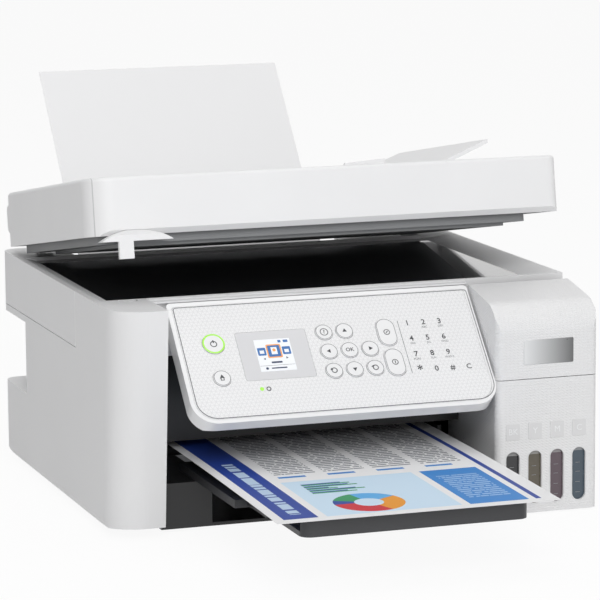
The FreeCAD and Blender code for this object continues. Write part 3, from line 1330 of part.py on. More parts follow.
def adf_tray():
    """Input tray: a plate that rises from the feeder's mouth, kicks up and narrows to its right end."""
    plate = slab_xz(
        (
            (TRAY_START_X, TRAY_START_Z),
            (TRAY_START_X, TRAY_START_Z - TRAY_THICK),
            (TRAY_KNEE_X + CUT, TRAY_KNEE_Z - TRAY_THICK),
            (TRAY_TIP_X, TRAY_TIP_Z - TRAY_THICK),
            (TRAY_TIP_X, TRAY_TIP_Z),
            (TRAY_KNEE_X, TRAY_KNEE_Z),
        ),
        HATCH_FRONT + RUN, TRAY_REAR,
    )
    corner = slab_xy(
        (
            (TRAY_TIP_X - TRAY_TAPER_LENGTH, TRAY_REAR + CUT),
            (TRAY_TIP_X + CUT, TRAY_REAR - TRAY_TAPER),
            (TRAY_TIP_X + CUT, TRAY_REAR + CUT),
        ),
        TRAY_FLOOR, TRAY_TIP_Z + CUT,
    )
    fence = slab_xz(guide_outline(0), HATCH_FRONT + RUN, HATCH_FRONT + RUN + GUIDE_THICK)
    reach = WALL - SEAT
    pins = rod_y(TRAY_PIN_RADIUS, HATCH_FRONT - reach, HATCH_REAR + reach, TRAY_PIN_X, TRAY_PIN_Z)
    return join(less(plate, corner), fence, pins)


def guide_outline(gap):
    """Side outline of a document guide standing on the sloping tray."""
    slope = (TRAY_KNEE_Z - TRAY_START_Z) / (TRAY_KNEE_X - TRAY_START_X)
    low = TRAY_START_Z + (GUIDE_START - TRAY_START_X) * slope + gap
    rise = GUIDE_LENGTH * slope
    return (
        (GUIDE_START, low),
        (GUIDE_START + GUIDE_LENGTH, low + rise),
        (GUIDE_START + GUIDE_LENGTH, low + rise + GUIDE_RISE),
        (GUIDE_START + GUIDE_RISE / 2, low + GUIDE_RISE),
    )


def adf_guide():
    """Sliding document guide at the rear edge of the input tray."""
    rear = TRAY_REAR - SEAM
    blade = slab_xz(guide_outline(SEAT), rear - GUIDE_THICK, rear)
    foot = slab_xz(foot_outline(), rear - GUIDE_THICK * 4, rear)
    return join(blade, foot)


def foot_outline():
    """Thin foot of the sliding guide, lying on the tray."""
    a, b, c, d = guide_outline(SEAT)
    return (a, b, (b[0], b[1] + GUIDE_THICK / 2), (a[0], a[1] + GUIDE_THICK / 2))


def adf_roller():
    """Feed roller under the hatch: a rubber sleeve on a steel shaft."""
    middle = (HATCH_FRONT + HATCH_REAR) / 2
    half = FEED_WELL_LENGTH / 2 + WALL
    shaft = rod_y(FEED_SHAFT_RADIUS, middle - half, middle + half, FEED_ROLLER_X, FEED_ROLLER_Z)
    grip = FEED_ROLLER_LENGTH / 2
    sleeve = rod_y(FEED_ROLLER_RADIUS, middle - grip, middle + grip, FEED_ROLLER_X, FEED_ROLLER_Z)
    return join(shaft, sleeve)


def gear_outline(teeth, phase):
    """Involute tooth outline in the side view, about the origin."""
    pitch = GEAR_MODULE * teeth / 2
    pressure = math.radians(PRESSURE_ANGLE)
    base = pitch * math.cos(pressure)
    tip = pitch + ADDENDUM * GEAR_MODULE
    root = pitch - DEDENDUM * GEAR_MODULE
    half = math.pi / (2 * teeth) - GEAR_BACKLASH / (2 * pitch)
    start = max(base, root)
    radii = [root] + [start + (tip - start) * share for share in FLANK_SHARES]
    flank = []
    for radius in radii:
        angle = math.acos(min(1.0, base / max(radius, base)))
        flank.append((radius, half + math.tan(pressure) - pressure - math.tan(angle) + angle))
    points = []
    for tooth in range(teeth):
        middle = phase + 2 * math.pi * tooth / teeth
        for radius, spread in flank:
            points.append((radius * math.cos(middle - spread), radius * math.sin(middle - spread)))
        for radius, spread in reversed(flank):
            points.append((radius * math.cos(middle + spread), radius * math.sin(middle + spread)))
    return points


def gear(teeth, phase, y, z, bore):
    """A spur gear on the drive side."""
    points = [(y + a, z + b) for a, b in gear_outline(teeth, phase)]
    return less(slab_yz(points, GEAR_X, GEAR_X + GEAR_WIDTH), rod_x(bore, LEFT, PAPER_X, y, z))


def mesh_phase(phase, teeth, direction, other):
    """Phase of a gear that meshes with another one lying in a given direction from it."""
    step = 2 * math.pi / teeth
    offset = (phase - direction) % step
    return direction + math.pi - offset * teeth / other + math.pi / other


FEED_PHASE = math.pi
IDLER_PHASE = mesh_phase(FEED_PHASE, FEED_TEETH, math.pi, IDLER_TEETH)
EXIT_PHASE = mesh_phase(IDLER_PHASE, IDLER_TEETH, math.pi, EXIT_TEETH)
PINION_PHASE = mesh_phase(FEED_PHASE, FEED_TEETH, math.radians(PINION_ANGLE), PINION_TEETH)
SHAFT_LEFT = GEAR_X - CUT
SHAFT_RIGHT = BEARING_RIGHT + BEARING_THICK + CUT


def roller(y, radius, teeth, phase):
    """A driven paper roller: shaft, rubber sleeve and its gear."""
    shaft = rod_x(SHAFT_RADIUS, SHAFT_LEFT, SHAFT_RIGHT, y, DRIVE_Z)
    x0 = BEARING_LEFT + BEARING_THICK + RUN
    sleeve = rod_x(radius, x0, BEARING_RIGHT - RUN, y, DRIVE_Z)
    return join(shaft, sleeve, gear(teeth, phase, y, DRIVE_Z, SHAFT_RADIUS - SEAT))


def idler_gear():
    """The large gear between the two rollers, on its own pin in the bearing wall."""
    wheel = gear(IDLER_TEETH, IDLER_PHASE, IDLER_Y, DRIVE_Z, IDLER_PIN_RADIUS - SEAT)
    windows = []
    for i in range(IDLER_WINDOWS):
        turn = 2 * math.pi * i / IDLER_WINDOWS
        y = IDLER_Y + IDLER_WINDOW_REACH * math.cos(turn)
        z = DRIVE_Z + IDLER_WINDOW_REACH * math.sin(turn)
        windows.append(rod_x(IDLER_WINDOW_RADIUS, LEFT, PAPER_X, y, z))
    pin = rod_x(IDLER_PIN_RADIUS, SHAFT_LEFT, BEARING_LEFT + BEARING_THICK, IDLER_Y, DRIVE_Z)
    return join(less(wheel, *windows), pin)


def motor_pinion():
    """Small gear on the feed motor's shaft."""
    wheel = gear(PINION_TEETH, PINION_PHASE, PINION_Y, PINION_Z, IDLER_PIN_RADIUS - SEAT)
    shaft = rod_x(IDLER_PIN_RADIUS, SHAFT_LEFT, BEARING_LEFT + BEARING_THICK, PINION_Y, PINION_Z)
    return join(wheel, shaft)


def platen():
    """Ribbed plate under the print head, on legs that stand on the floor."""
    x0 = BEARING_LEFT + BEARING_THICK + SEAM
    x1 = BEARING_RIGHT - SEAM
    top = PAPER_Z - PLATEN_RIB
    pieces = [box(x0, x1, PLATEN_FRONT, PLATEN_REAR, top - PLATEN_THICK, top)]
    count = int((x1 - x0) / PLATEN_RIB_PITCH)
    for i in range(1, count):
        x = x0 + i * PLATEN_RIB_PITCH
        pieces.append(box(x, x + PLATEN_RIB, PLATEN_FRONT, PLATEN_REAR, top - SEAT, PAPER_Z - SEAM))
    leg_rear = PLATEN_REAR - PLATEN_LEG
    for x in (x0, (x0 + x1) / 2, x1 - PLATEN_LEG):
        pieces.append(box(x, x + PLATEN_LEG, leg_rear - PLATEN_LEG, leg_rear, FLOOR_TOP, top - SEAT))
    return join(*pieces)


def exit_frame():
    """Black front wall above the paper exit, with a roof and paper fins."""
    x0 = PILLAR_INNER + SEAM
    x1 = TANK_LEFT - SEAM
    y0 = EXIT_ROOF_FRONT
    wall = box(x0, x1, y0, y0 + WALL, EXIT_ROOF_LOW, FLANK_SEAM_Z - SEAM)
    roof_low = EXIT_ROOF_LOW + FIN_HEIGHT
    roof = box(x0, x1, y0, y0 + EXIT_ROOF_DEPTH, roof_low, roof_low + WALL)
    pieces = [wall, roof]
    count = int((BEARING_RIGHT - x0) / EXIT_FIN_PITCH)
    for i in range(1, count):
        x = x0 + i * EXIT_FIN_PITCH
        fin = slab_yz(
            (
                (y0, EXIT_ROOF_LOW),
                (EXIT_Y + EXIT_FIN, PAPER_Z + CUT),
                (y0 + EXIT_ROOF_DEPTH, EXIT_ROOF_LOW),
                (y0 + EXIT_ROOF_DEPTH, EXIT_ROOF_LOW + FIN_HEIGHT + SEAT),
                (y0, EXIT_ROOF_LOW + FIN_HEIGHT + SEAT),
            ),
            x, x + EXIT_FIN,
        )
        pieces.append(fin)
    return join(*pieces)



def carriage_rail():
    """Folded steel rail with two end legs, pulley brackets and the encoder strip in front of it."""
    y1 = RAIL_Y + RAIL_SHEET
    web = box(RAIL_LEFT, RAIL_RIGHT, RAIL_Y, y1, RAIL_LOW, RAIL_HIGH)
    top = box(RAIL_LEFT, RAIL_RIGHT, RAIL_Y - RAIL_FLANGE, y1, RAIL_HIGH - RAIL_SHEET, RAIL_HIGH)
    low = box(RAIL_LEFT, RAIL_RIGHT, RAIL_Y - RAIL_FLANGE, y1, RAIL_LOW, RAIL_LOW + RAIL_SHEET)
    leg_rear = RAIL_Y + RAIL_LEG_DEPTH
    left_leg = box(RAIL_LEFT, RAIL_LEFT + RAIL_SHEET, RAIL_Y, leg_rear, FLOOR_TOP, RAIL_HIGH)
    right_leg = box(RAIL_RIGHT - RAIL_SHEET, RAIL_RIGHT, RAIL_Y, leg_rear, FLOOR_TOP, RAIL_HIGH)
    pieces = [web, top, low, left_leg, right_leg]
    for x in (PULLEY_LEFT, PULLEY_RIGHT):
        pieces.append(
            box(
                x - PULLEY_FLANGE * 2, x + PULLEY_FLANGE * 2, y1 - SEAT, PULLEY_Y + PULLEY_FLANGE * 2,
                BELT_LOW - CUT * 2 - RAIL_SHEET, BELT_LOW - CUT * 2,
            )
        )
    rail = join(*pieces)
    holes = [rod_z(PULLEY_PIN_RADIUS * 2, PULLEY_RIGHT, PULLEY_Y, RAIL_LOW, RAIL_HIGH)]
    post = rod_z(PULLEY_PIN_RADIUS, PULLEY_LEFT, PULLEY_Y, BELT_LOW - CUT * 3, BELT_HIGH + CUT)
    return join(less(rail, *holes), post)


def timing_belt():
    """Toothed belt loop round the two pulleys, drawn plain."""
    outer = PULLEY_RADIUS + BELT_GAP + BELT_THICK
    inner = PULLEY_RADIUS + BELT_GAP
    loops = []
    for radius in (outer, inner):
        loops.append(
            rounded_block(
                PULLEY_LEFT - radius, PULLEY_RIGHT + radius, PULLEY_Y - radius, PULLEY_Y + radius,
                BELT_LOW, BELT_HIGH, [radius - PIN_CLEAR] * 4,
            )
        )
    return less(loops[0], loops[1])


def pulley(x, bore):
    """A flanged belt pulley, turned about an upright axis."""
    low = BELT_LOW - CUT
    high = BELT_HIGH + CUT
    body = join(
        rod_z(PULLEY_RADIUS, x, PULLEY_Y, low, high),
        rod_z(PULLEY_FLANGE, x, PULLEY_Y, low, low + CUT - SEAT),
        rod_z(PULLEY_FLANGE, x, PULLEY_Y, high - CUT + SEAT, high),
    )
    return less(body, rod_z(bore, x, PULLEY_Y, low - CUT, high + CUT)) if bore else body


def drive_pulley():
    """Pulley on the carriage motor's shaft."""
    shaft = rod_z(PULLEY_PIN_RADIUS, PULLEY_RIGHT, PULLEY_Y, MOTOR_TOP + SEAT, BELT_HIGH)
    return join(pulley(PULLEY_RIGHT, 0), shaft)


MOTOR_TOP = BELT_LOW - CUT * 2 - RAIL_SHEET


def drive_motors():
    """Carriage motor under its bracket and feed motor on the bearing wall."""
    carriage_motor = rod_z(MOTOR_RADIUS, PULLEY_RIGHT, PULLEY_Y, MOTOR_TOP - MOTOR_LENGTH, MOTOR_TOP)
    x0 = BEARING_LEFT + BEARING_THICK
    x1 = x0 + MOTOR_LENGTH
    feed_motor = rod_x(FEED_MOTOR_RADIUS, x0, x1, PINION_Y, PINION_Z)
    rim = rod_x(FEED_MOTOR_RADIUS - WALL, x1 - SEAT, x1 + WALL, PINION_Y, PINION_Z)
    low = MOTOR_TOP - MOTOR_LENGTH
    cap = rod_z(MOTOR_RADIUS - WALL, PULLEY_RIGHT, PULLEY_Y, low - WALL, low + SEAT)
    return group(join(carriage_motor, cap), join(feed_motor, rim))


def carriage():
    """Print carriage: an open-topped box of damper cells that rides on the rail and clips to the belt."""
    x0 = CARRIAGE_HOME - CARRIAGE_WIDTH / 2
    x1 = CARRIAGE_HOME + CARRIAGE_WIDTH / 2
    flange_front = RAIL_Y - RAIL_FLANGE - RUN
    block = box(x0, x1, CARRIAGE_FRONT, flange_front, CARRIAGE_LOW, CARRIAGE_HIGH)
    tongue = box(
        x0, x1, flange_front - CUT, RAIL_Y - RUN, RAIL_LOW + RAIL_SHEET + RUN, RAIL_HIGH - RAIL_SHEET - RUN
    )
    cells = []
    step = (CARRIAGE_WIDTH - WALL) / CARRIAGE_CELLS
    for i in range(CARRIAGE_CELLS):
        cell = x0 + WALL + i * step
        cells.append(
            box(
                cell, cell + step - WALL, CARRIAGE_FRONT + WALL, flange_front - WALL * 3,
                CARRIAGE_LOW + WALL * 4, CARRIAGE_HIGH + CUT,
            )
        )
    post = box(
        CARRIAGE_HOME - ARM_WIDTH / 2, CARRIAGE_HOME + ARM_WIDTH / 2, flange_front - WALL * 3, flange_front,
        CARRIAGE_HIGH - CUT, RAIL_HIGH + RUN + ARM_THICK,
    )
    run_y = PULLEY_Y - PULLEY_RADIUS - BELT_GAP
    clip_front = run_y - BELT_THICK - BELT_GAP - WALL
    clip_rear = run_y + BELT_GAP + WALL
    arm = box(
        CARRIAGE_HOME - ARM_WIDTH / 2, CARRIAGE_HOME + ARM_WIDTH / 2, flange_front - CUT, clip_rear,
        RAIL_HIGH + RUN, RAIL_HIGH + RUN + ARM_THICK,
    )
    clip = box(
        CARRIAGE_HOME - ARM_WIDTH / 2, CARRIAGE_HOME + ARM_WIDTH / 2, clip_front, clip_rear,
        BELT_LOW + CUT, RAIL_HIGH + RUN + CUT,
    )
    slot = box(
        x0, x1, run_y - BELT_THICK - BELT_GAP, run_y + BELT_GAP, BELT_LOW, BELT_HIGH + BELT_GAP
    )
    return join(less(join(block, tongue), *cells), post, arm, less(clip, slot))


def print_head():
    """Print head under the carriage, its nozzle plate just above the paper."""
    middle = (PLATEN_FRONT + PLATEN_REAR) / 2
    half = HEAD_WIDTH / 2
    body = box(
        CARRIAGE_HOME - half, CARRIAGE_HOME + half, middle - HEAD_LENGTH / 2, middle + HEAD_LENGTH / 2,
        CARRIAGE_LOW - HEAD_DROP / 2, CARRIAGE_LOW,
    )
    plate = box(
        CARRIAGE_HOME - half + WALL, CARRIAGE_HOME + half - WALL, middle - HEAD_LENGTH / 2 + WALL,
        middle + HEAD_LENGTH / 2 - WALL, CARRIAGE_LOW - HEAD_DROP, CARRIAGE_LOW - HEAD_DROP / 2 + SEAT,
    )
    return join(body, plate)


def capping_station():
    """Parking cap and wiper under the carriage's home place, on a stand."""
    middle = (PLATEN_FRONT + PLATEN_REAR) / 2
    x0 = CARRIAGE_HOME - HEAD_WIDTH / 2
    x1 = CARRIAGE_HOME + HEAD_WIDTH / 2
    y0 = middle - HEAD_LENGTH / 2
    y1 = middle + HEAD_LENGTH / 2
    top = CARRIAGE_LOW - HEAD_DROP - RUN * 2
    stand = box(x0, x1, y0, y1, FLOOR_TOP, top - CAPPING_HEIGHT + SEAT)
    hollow = box(x0 + WALL, x1 - WALL, y0 + WALL, y1 - WALL, FLOOR_TOP - CUT, top - CAPPING_HEIGHT - WALL)
    cup = rounded_block(x0 + WALL, x1 - WALL, y0 + WALL, y1 - WALL, top - CAPPING_HEIGHT, top, [WALL] * 4)
    rim = WALL * 2
    dish = rounded_block(
        x0 + rim, x1 - rim, y0 + rim, y1 - rim, top - CAPPING_HEIGHT / 2, top + CUT, [WALL] * 4
    )
    return join(less(stand, hollow), less(cup, dish))


def chute_place(shape):
    """Lean an upright feeder piece back and set its foot in the body."""
    placed = shape.copy()
    placed.rotate(V(0, 0, 0), X_AXIS, -LEAN)
    placed.translate(V(0, CHUTE_FOOT_Y, CHUTE_FOOT_Z))
    return placed


def chute_point(along, out):
    """Body-frame Y and Z of a point on the sheet plane, measured up it and out in front of it."""
    lean = math.radians(LEAN)
    y = CHUTE_FOOT_Y + along * math.sin(lean) - out * math.cos(lean)
    z = CHUTE_FOOT_Z + along * math.cos(lean) + out * math.sin(lean)
    return y, z


CHUTE_BACK = SUPPORT_GAP + SUPPORT_THICK + STACK_GAP + EXTENDER_THICK + STACK_GAP


def paper_feeder():
    """Rear feeder chute: leaning back plate, side walls, foot ledge, ramp and the scanner's hinge ears."""
    back = box(CHUTE_LEFT, CHUTE_RIGHT, CHUTE_BACK, CHUTE_BACK + WALL, -WALL, CHUTE_LENGTH)
    cheek = (
        (CHUTE_BACK + WALL, -WALL),
        (CHUTE_BACK + WALL, CHUTE_LENGTH),
        (-CHUTE_WALL_RISE, CHUTE_LENGTH),
        (-CHUTE_WALL_RISE, CHUTE_CHEEK_LENGTH + CHUTE_WALL_RISE),
        (-CHUTE_CHEEK_RISE, CHUTE_CHEEK_LENGTH),
        (-CHUTE_CHEEK_RISE, CHUTE_WALL_RISE),
        (-WALL, -WALL),
    )
    left_wall = slab_yz(cheek, CHUTE_LEFT, CHUTE_LEFT + WALL)
    right_wall = slab_yz(cheek, CHUTE_RIGHT - WALL, CHUTE_RIGHT)
    ledge = box(CHUTE_LEFT, CHUTE_RIGHT, -WALL, CHUTE_BACK + WALL, -WALL, 0)
    runners = []
    inner = EXTENDER_WIDTH / 2 + RUN * 2
    outer = SUPPORT_WIDTH / 2 - RUN
    for low, high in ((PAPER_X - outer, PAPER_X - inner), (PAPER_X + inner, PAPER_X + outer)):
        runners.append(
            box(low, high, SUPPORT_GAP + SUPPORT_THICK + STACK_GAP, CHUTE_BACK + SEAT, -SEAT, CHUTE_LENGTH)
        )
    chute = chute_place(join(back, left_wall, right_wall, ledge, *runners))
    foot_y, foot_z = chute_point(0, 0)
    ramp_low = PAPER_Z - SEAM
    ramp = slab_yz(
        (
            (foot_y - WALL, foot_z - WALL),
            (foot_y + WALL * 2, foot_z - WALL * 2),
            (FEED_Y + FEED_ROLL_RADIUS + WALL * 2, ramp_low - WALL),
            (FEED_Y + FEED_ROLL_RADIUS + WALL * 2, ramp_low),
        ),
        CHUTE_LEFT, BEARING_RIGHT - SEAM,
    )
    lean = math.radians(LEAN)
    behind_y, behind_z = chute_point(CHUTE_WEB_LOW, -CHUTE_BACK)
    pieces = [chute, ramp]
    for x0 in (CHUTE_LEFT, CHUTE_RIGHT - SCANNER_EAR):
        eye = rod_x(SCANNER_EAR_RADIUS, x0, x0 + SCANNER_EAR, SCANNER_PIVOT_Y, SCANNER_PIVOT_Z)
        web = slab_yz(
            (
                (SCANNER_PIVOT_Y, SCANNER_PIVOT_Z - SCANNER_EAR_RADIUS),
                (SCANNER_PIVOT_Y + SCANNER_EAR_RADIUS * math.sin(lean), SCANNER_PIVOT_Z + SEAT),
                (SCANNER_PIVOT_Y, SCANNER_PIVOT_Z + SCANNER_EAR_RADIUS),
                chute_point(CHUTE_WEB_HIGH, -CHUTE_BACK),
                (behind_y, behind_z),
            ),
            x0, x0 + SCANNER_EAR,
        )
        pieces.append(join(eye, web))
        leg_y, leg_z = chute_point(CHUTE_LEG_ALONG, -CHUTE_BACK - WALL / 2)
        pieces.append(
            slab_yz(
                (
                    (leg_y - WALL * 3, FLOOR_TOP),
                    (leg_y, FLOOR_TOP),
                    (leg_y, leg_z),
                    (leg_y - WALL * 3, leg_z - WALL * 4),
                ),
                x0, x0 + SCANNER_EAR,
            )
        )
    bores = [rod_x(SCANNER_PIN_RADIUS + PIN_CLEAR, LEFT, RIGHT, SCANNER_PIVOT_Y, SCANNER_PIVOT_Z)]
    pickup_y, pickup_z = chute_point(PICKUP_ALONG, PICKUP_RADIUS + SEAM)
    bores.append(rod_x(PICKUP_SHAFT_RADIUS + PIN_CLEAR, LEFT, RIGHT, pickup_y, pickup_z))
    return less(join(*pieces), *bores)


def pickup_roller():
    """Rubber pick-up roller on a steel shaft across the chute."""
    y, z = chute_point(PICKUP_ALONG, PICKUP_RADIUS + SEAM)
    shaft = rod_x(PICKUP_SHAFT_RADIUS, CHUTE_LEFT - SEAM, CHUTE_RIGHT + SEAM, y, z)
    sleeve = rod_x(PICKUP_RADIUS, PAPER_X - PICKUP_WIDTH / 2, PAPER_X + PICKUP_WIDTH / 2, y, z)
    return join(shaft, sleeve)


def edge_guide(side):
    """One sliding paper guide, its blade standing beside the sheet and its foot behind it."""
    inner = PAPER_X + side * (PAPER_WIDTH / 2 + EDGE_GUIDE_ROOM)
    outer = inner + side * EDGE_GUIDE_THICK
    x0 = min(inner, outer)
    blade = box(
        x0, x0 + EDGE_GUIDE_THICK, -EDGE_GUIDE_RISE, CHUTE_BACK - STACK_GAP, EDGE_GUIDE_START, EDGE_GUIDE_END
    )
    return chute_place(blade)


def paper_support():
    """Lower leaf of the rear paper support, with a hand notch and rounded top corners."""
    half = SUPPORT_WIDTH / 2
    leaf = upright_block(
        PAPER_X - half, PAPER_X + half, SUPPORT_START, SUPPORT_END, SUPPORT_GAP, SUPPORT_GAP + SUPPORT_THICK,
        (SEAM, SEAM, SUPPORT_CORNER, SUPPORT_CORNER),
    )
    return chute_place(leaf)


def support_extender():
    """Upper leaf that slides up behind the lower one."""
    half = EXTENDER_WIDTH / 2
    front = SUPPORT_GAP + SUPPORT_THICK + STACK_GAP
    leaf = upright_block(
        PAPER_X - half, PAPER_X + half, EXTENDER_START, EXTENDER_END, front, front + EXTENDER_THICK,
        (SEAM, SEAM, SUPPORT_CORNER, SUPPORT_CORNER),
    )
    return chute_place(leaf)


def page_height(share):
    """Height of the printed sheet at a share of its length from the front, where it droops to the tray."""
    bend = math.sin(min(share / PAGE_BEND, 1) * math.pi / 2)
    return PAPER_Z - PAGE_SINK - PAGE_RISE * (1 - bend)


def paper_sheets():
    """A printed sheet coming out over the tray and a blank one waiting in the rear feeder."""
    x0 = PAPER_X - PAPER_WIDTH / 2
    x1 = PAPER_X + PAPER_WIDTH / 2
    shares = [i / PAGE_STEPS for i in range(PAGE_STEPS + 1)]
    lower = [(PAGE_FRONT + SHEET_LENGTH * share, page_height(share)) for share in shares]
    upper = [(y, z + SHEET_THICK) for y, z in reversed(lower)]
    blank = box(x0, x1, -SHEET_THICK, 0, SHEET_LIFT, SHEET_LIFT + SHEET_LENGTH)
    return group(slab_yz(lower + upper, x0, x1), chute_place(blank))


def output_tray():
    """First leaf of the output tray: a deck on two side rails."""
    half = TRAY_WIDTH / 2
    y1 = TRAY_FRONT + TRAY_LENGTH
    whole = box(PAPER_X - half, PAPER_X + half, TRAY_FRONT, y1, TRAY_LOW, TRAY_HIGH)
    channel = box(
        PAPER_X - half + TRAY_RAIL, PAPER_X + half - TRAY_RAIL, TRAY_FRONT - CUT, y1 + CUT,
        TRAY_LOW - CUT, TRAY_HIGH - TRAY_DECK,
    )
    groove = tray_tongue(TRAY_TONGUE + BELT_GAP, BELT_GAP, TRAY_FRONT - CUT, y1 + CUT)
    return less(whole, channel, groove)


def tray_tongue(reach, grow, y0, y1):
    """The flat tongue of the second leaf that runs in the rails of the first, grown for its groove."""
    half = TRAY_WIDTH / 2 - TRAY_RAIL + reach
    middle = (TRAY_LOW + TRAY_HIGH - TRAY_DECK) / 2
    rise = TRAY_TONGUE / 4 + grow
    return box(PAPER_X - half, PAPER_X + half, y0, y1, middle - rise, middle + rise)


def tray_extension():
    """Second leaf of the output tray, with an upturned front lip."""
    half = SLIDE_WIDTH / 2
    top = TRAY_HIGH - TRAY_DECK - BELT_GAP
    leaf = rounded_block(
        PAPER_X - half, PAPER_X + half, SLIDE_FRONT, SLIDE_FRONT + SLIDE_LENGTH, TRAY_LOW, top,
        (SLIDE_CORNER, SLIDE_CORNER, SEAM, SEAM),
    )
    lip = rounded_block(
        PAPER_X - half, PAPER_X + half, SLIDE_FRONT, SLIDE_FRONT + SLIDE_LENGTH, TRAY_LOW, SLIDE_LIP_HIGH,
        (SLIDE_CORNER, SLIDE_CORNER, SEAM, SEAM),
    ).common(box(LEFT, RIGHT, SLIDE_FRONT, SLIDE_FRONT + SLIDE_LIP, 0, BODY_HEIGHT))
    y1 = SLIDE_FRONT + SLIDE_LENGTH
    return join(leaf, lip, tray_tongue(TRAY_TONGUE, 0, y1 - TRAY_TONGUE_LENGTH, y1))


def main_board():
    """Main circuit board on posts, its sockets reaching through the rear wall."""
    low = FLOOR_TOP + BOARD_LIFT
    rear = REAR - WALL - SEAM
    x0 = BOARD_RIGHT - BOARD_WIDTH
    pieces = [box(x0, BOARD_RIGHT, rear - BOARD_DEPTH, rear, low, low + BOARD_THICK)]
    for x, width, height in socket_places():
        top = low + BOARD_THICK + height
        shell = box(x, x + width, rear - SOCKET_LENGTH, REAR - SEAT, low + BOARD_THICK - SEAT, top)
        mouth = box(
            x + CUT, x + width - CUT, REAR - SOCKET_LENGTH / 2, REAR + CUT,
            low + BOARD_THICK + CUT, top - CUT,
        )
        pieces.append(less(shell, mouth))
    post_rear = REAR - REAR_FOOT_RADIUS - SEAM * 2
    for x in (x0 + WALL * 2, BOARD_RIGHT - WALL * 2):
        for y in (rear - BOARD_DEPTH + WALL * 2, post_rear - WALL * 2):
            pieces.append(rod_z(WALL, x, y, FLOOR_TOP, low + SEAT))
    return join(*pieces)


def power_supply():
    """Metal power unit with the mains inlet at the rear wall."""
    x1 = SUPPLY_LEFT + SUPPLY_WIDTH
    rear = REAR - REAR_FOOT_RADIUS - SEAM * 2
    can = box(SUPPLY_LEFT, x1, rear - SUPPLY_DEPTH, rear, FLOOR_TOP, FLOOR_TOP + SUPPLY_HEIGHT)
    middle = SUPPLY_LEFT + SUPPLY_WIDTH / 2
    half = INLET_WIDTH / 2
    high = INLET_LIFT + INLET_HEIGHT
    rim = CUT * 2
    inlet = box(middle - half, middle + half, rear - SEAT, REAR - SEAT, INLET_LIFT, high)
    well = upright_block(
        middle - half + rim, middle + half - rim, INLET_LIFT + rim, high - rim,
        REAR - INLET_WELL, REAR + CUT, [CUT * 3] * 4,
    )
    prong_z = (INLET_LIFT + high) / 2
    prongs = []
    for prong_x in (middle - half / 2, middle + half / 2):
        prongs.append(rod_y(CUT, REAR - INLET_WELL - SEAT, REAR - rim, prong_x, prong_z))
    skin = SUPPLY_SKIN
    hollow = box(
        SUPPLY_LEFT + skin, x1 - skin, rear - SUPPLY_DEPTH + skin, rear - skin,
        FLOOR_TOP - CUT, FLOOR_TOP + SUPPLY_HEIGHT - skin,
    )
    return join(less(can, hollow), less(inlet, well), *prongs)


def build():
    """Make every node."""
    os.makedirs("parts", exist_ok=True)
    save("base_tray", base_tray())
    save("rubber_feet", rubber_feet())
    save("outer_housing", outer_housing())
    save("front_beam", front_beam())
    save("tank_housing", tank_housing())
    save("ink_tanks", ink_tanks())
    save("tank_cover", tank_cover())
    for name, x in zip(("black_cap", "yellow_cap", "magenta_cap", "cyan_cap"), tank_centres()):
        save(name, tank_cap(x))
    save("panel_case", panel_place(panel_case()))
    save("panel_face", panel_place(panel_face()))
    save("panel_screen", panel_place(screen_block(0, 0, SCREEN_THICK)))
    for row in keys():
        save(row[0], panel_place(panel_key(row)))
    save("scanner_case", scanner_case())
    save("scanner_glass", scanner_glass())
    save("scan_bar", scan_bar())
    save("document_cover", lid_place(document_cover()))
    save("cover_frame", lid_place(cover_frame()))
    save("cover_grip", lid_place(cover_grip()))
    save("adf_hatch", lid_place(adf_hatch()))
    save("adf_tray", lid_place(adf_tray()))
    save("adf_guide", lid_place(adf_guide()))
    save("adf_roller", lid_place(adf_roller()))
    save("platen", platen())
    save("exit_frame", exit_frame())
    save("feed_roller", roller(FEED_Y, FEED_ROLL_RADIUS, FEED_TEETH, FEED_PHASE))
    save("exit_roller", roller(EXIT_Y, EXIT_ROLL_RADIUS, EXIT_TEETH, EXIT_PHASE))
    save("idler_gear", idler_gear())
    save("motor_pinion", motor_pinion())
    save("carriage_rail", carriage_rail())
    save("timing_belt", timing_belt())
    save("drive_pulley", drive_pulley())
    save("idler_pulley", pulley(PULLEY_LEFT, PULLEY_PIN_RADIUS + PIN_CLEAR))
    save("drive_motors", drive_motors())
    save("carriage", group(carriage(), print_head()))
    save("capping_station", capping_station())
    save("paper_feeder", paper_feeder())
    save("pickup_roller", pickup_roller())
    save("left_edge_guide", edge_guide(-1))
    save("right_edge_guide", edge_guide(1))
    save("paper_support", paper_support())
    save("support_extender", support_extender())
    save("paper_sheets", paper_sheets())
    save("output_tray", output_tray())
    save("tray_extension", tray_extension())
    save("main_board", main_board())
    save("power_supply", power_supply())


build()
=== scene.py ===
import logging
import math
from dataclasses import dataclass, field
from enum import Enum
from typing import Callable, Dict, List, Optional, Sequence, Tuple

import bpy
from mathutils import Matrix, Vector


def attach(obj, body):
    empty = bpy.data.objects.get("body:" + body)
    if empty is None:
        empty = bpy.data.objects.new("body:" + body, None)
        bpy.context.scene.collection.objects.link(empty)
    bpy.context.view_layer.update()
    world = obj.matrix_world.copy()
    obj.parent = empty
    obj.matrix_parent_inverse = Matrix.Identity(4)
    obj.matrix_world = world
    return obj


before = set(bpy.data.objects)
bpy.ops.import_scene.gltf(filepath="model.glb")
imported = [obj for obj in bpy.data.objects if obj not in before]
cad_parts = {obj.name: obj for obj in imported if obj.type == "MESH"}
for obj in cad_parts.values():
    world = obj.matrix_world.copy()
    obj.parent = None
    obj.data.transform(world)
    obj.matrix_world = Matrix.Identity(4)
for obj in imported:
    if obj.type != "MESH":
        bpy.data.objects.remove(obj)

logging.basicConfig(level=logging.INFO, format="%(message)s")
log = logging.getLogger("printer")

Color = Tuple[float, float, float]
MM = 0.001
PANEL_LEAN = 43.0


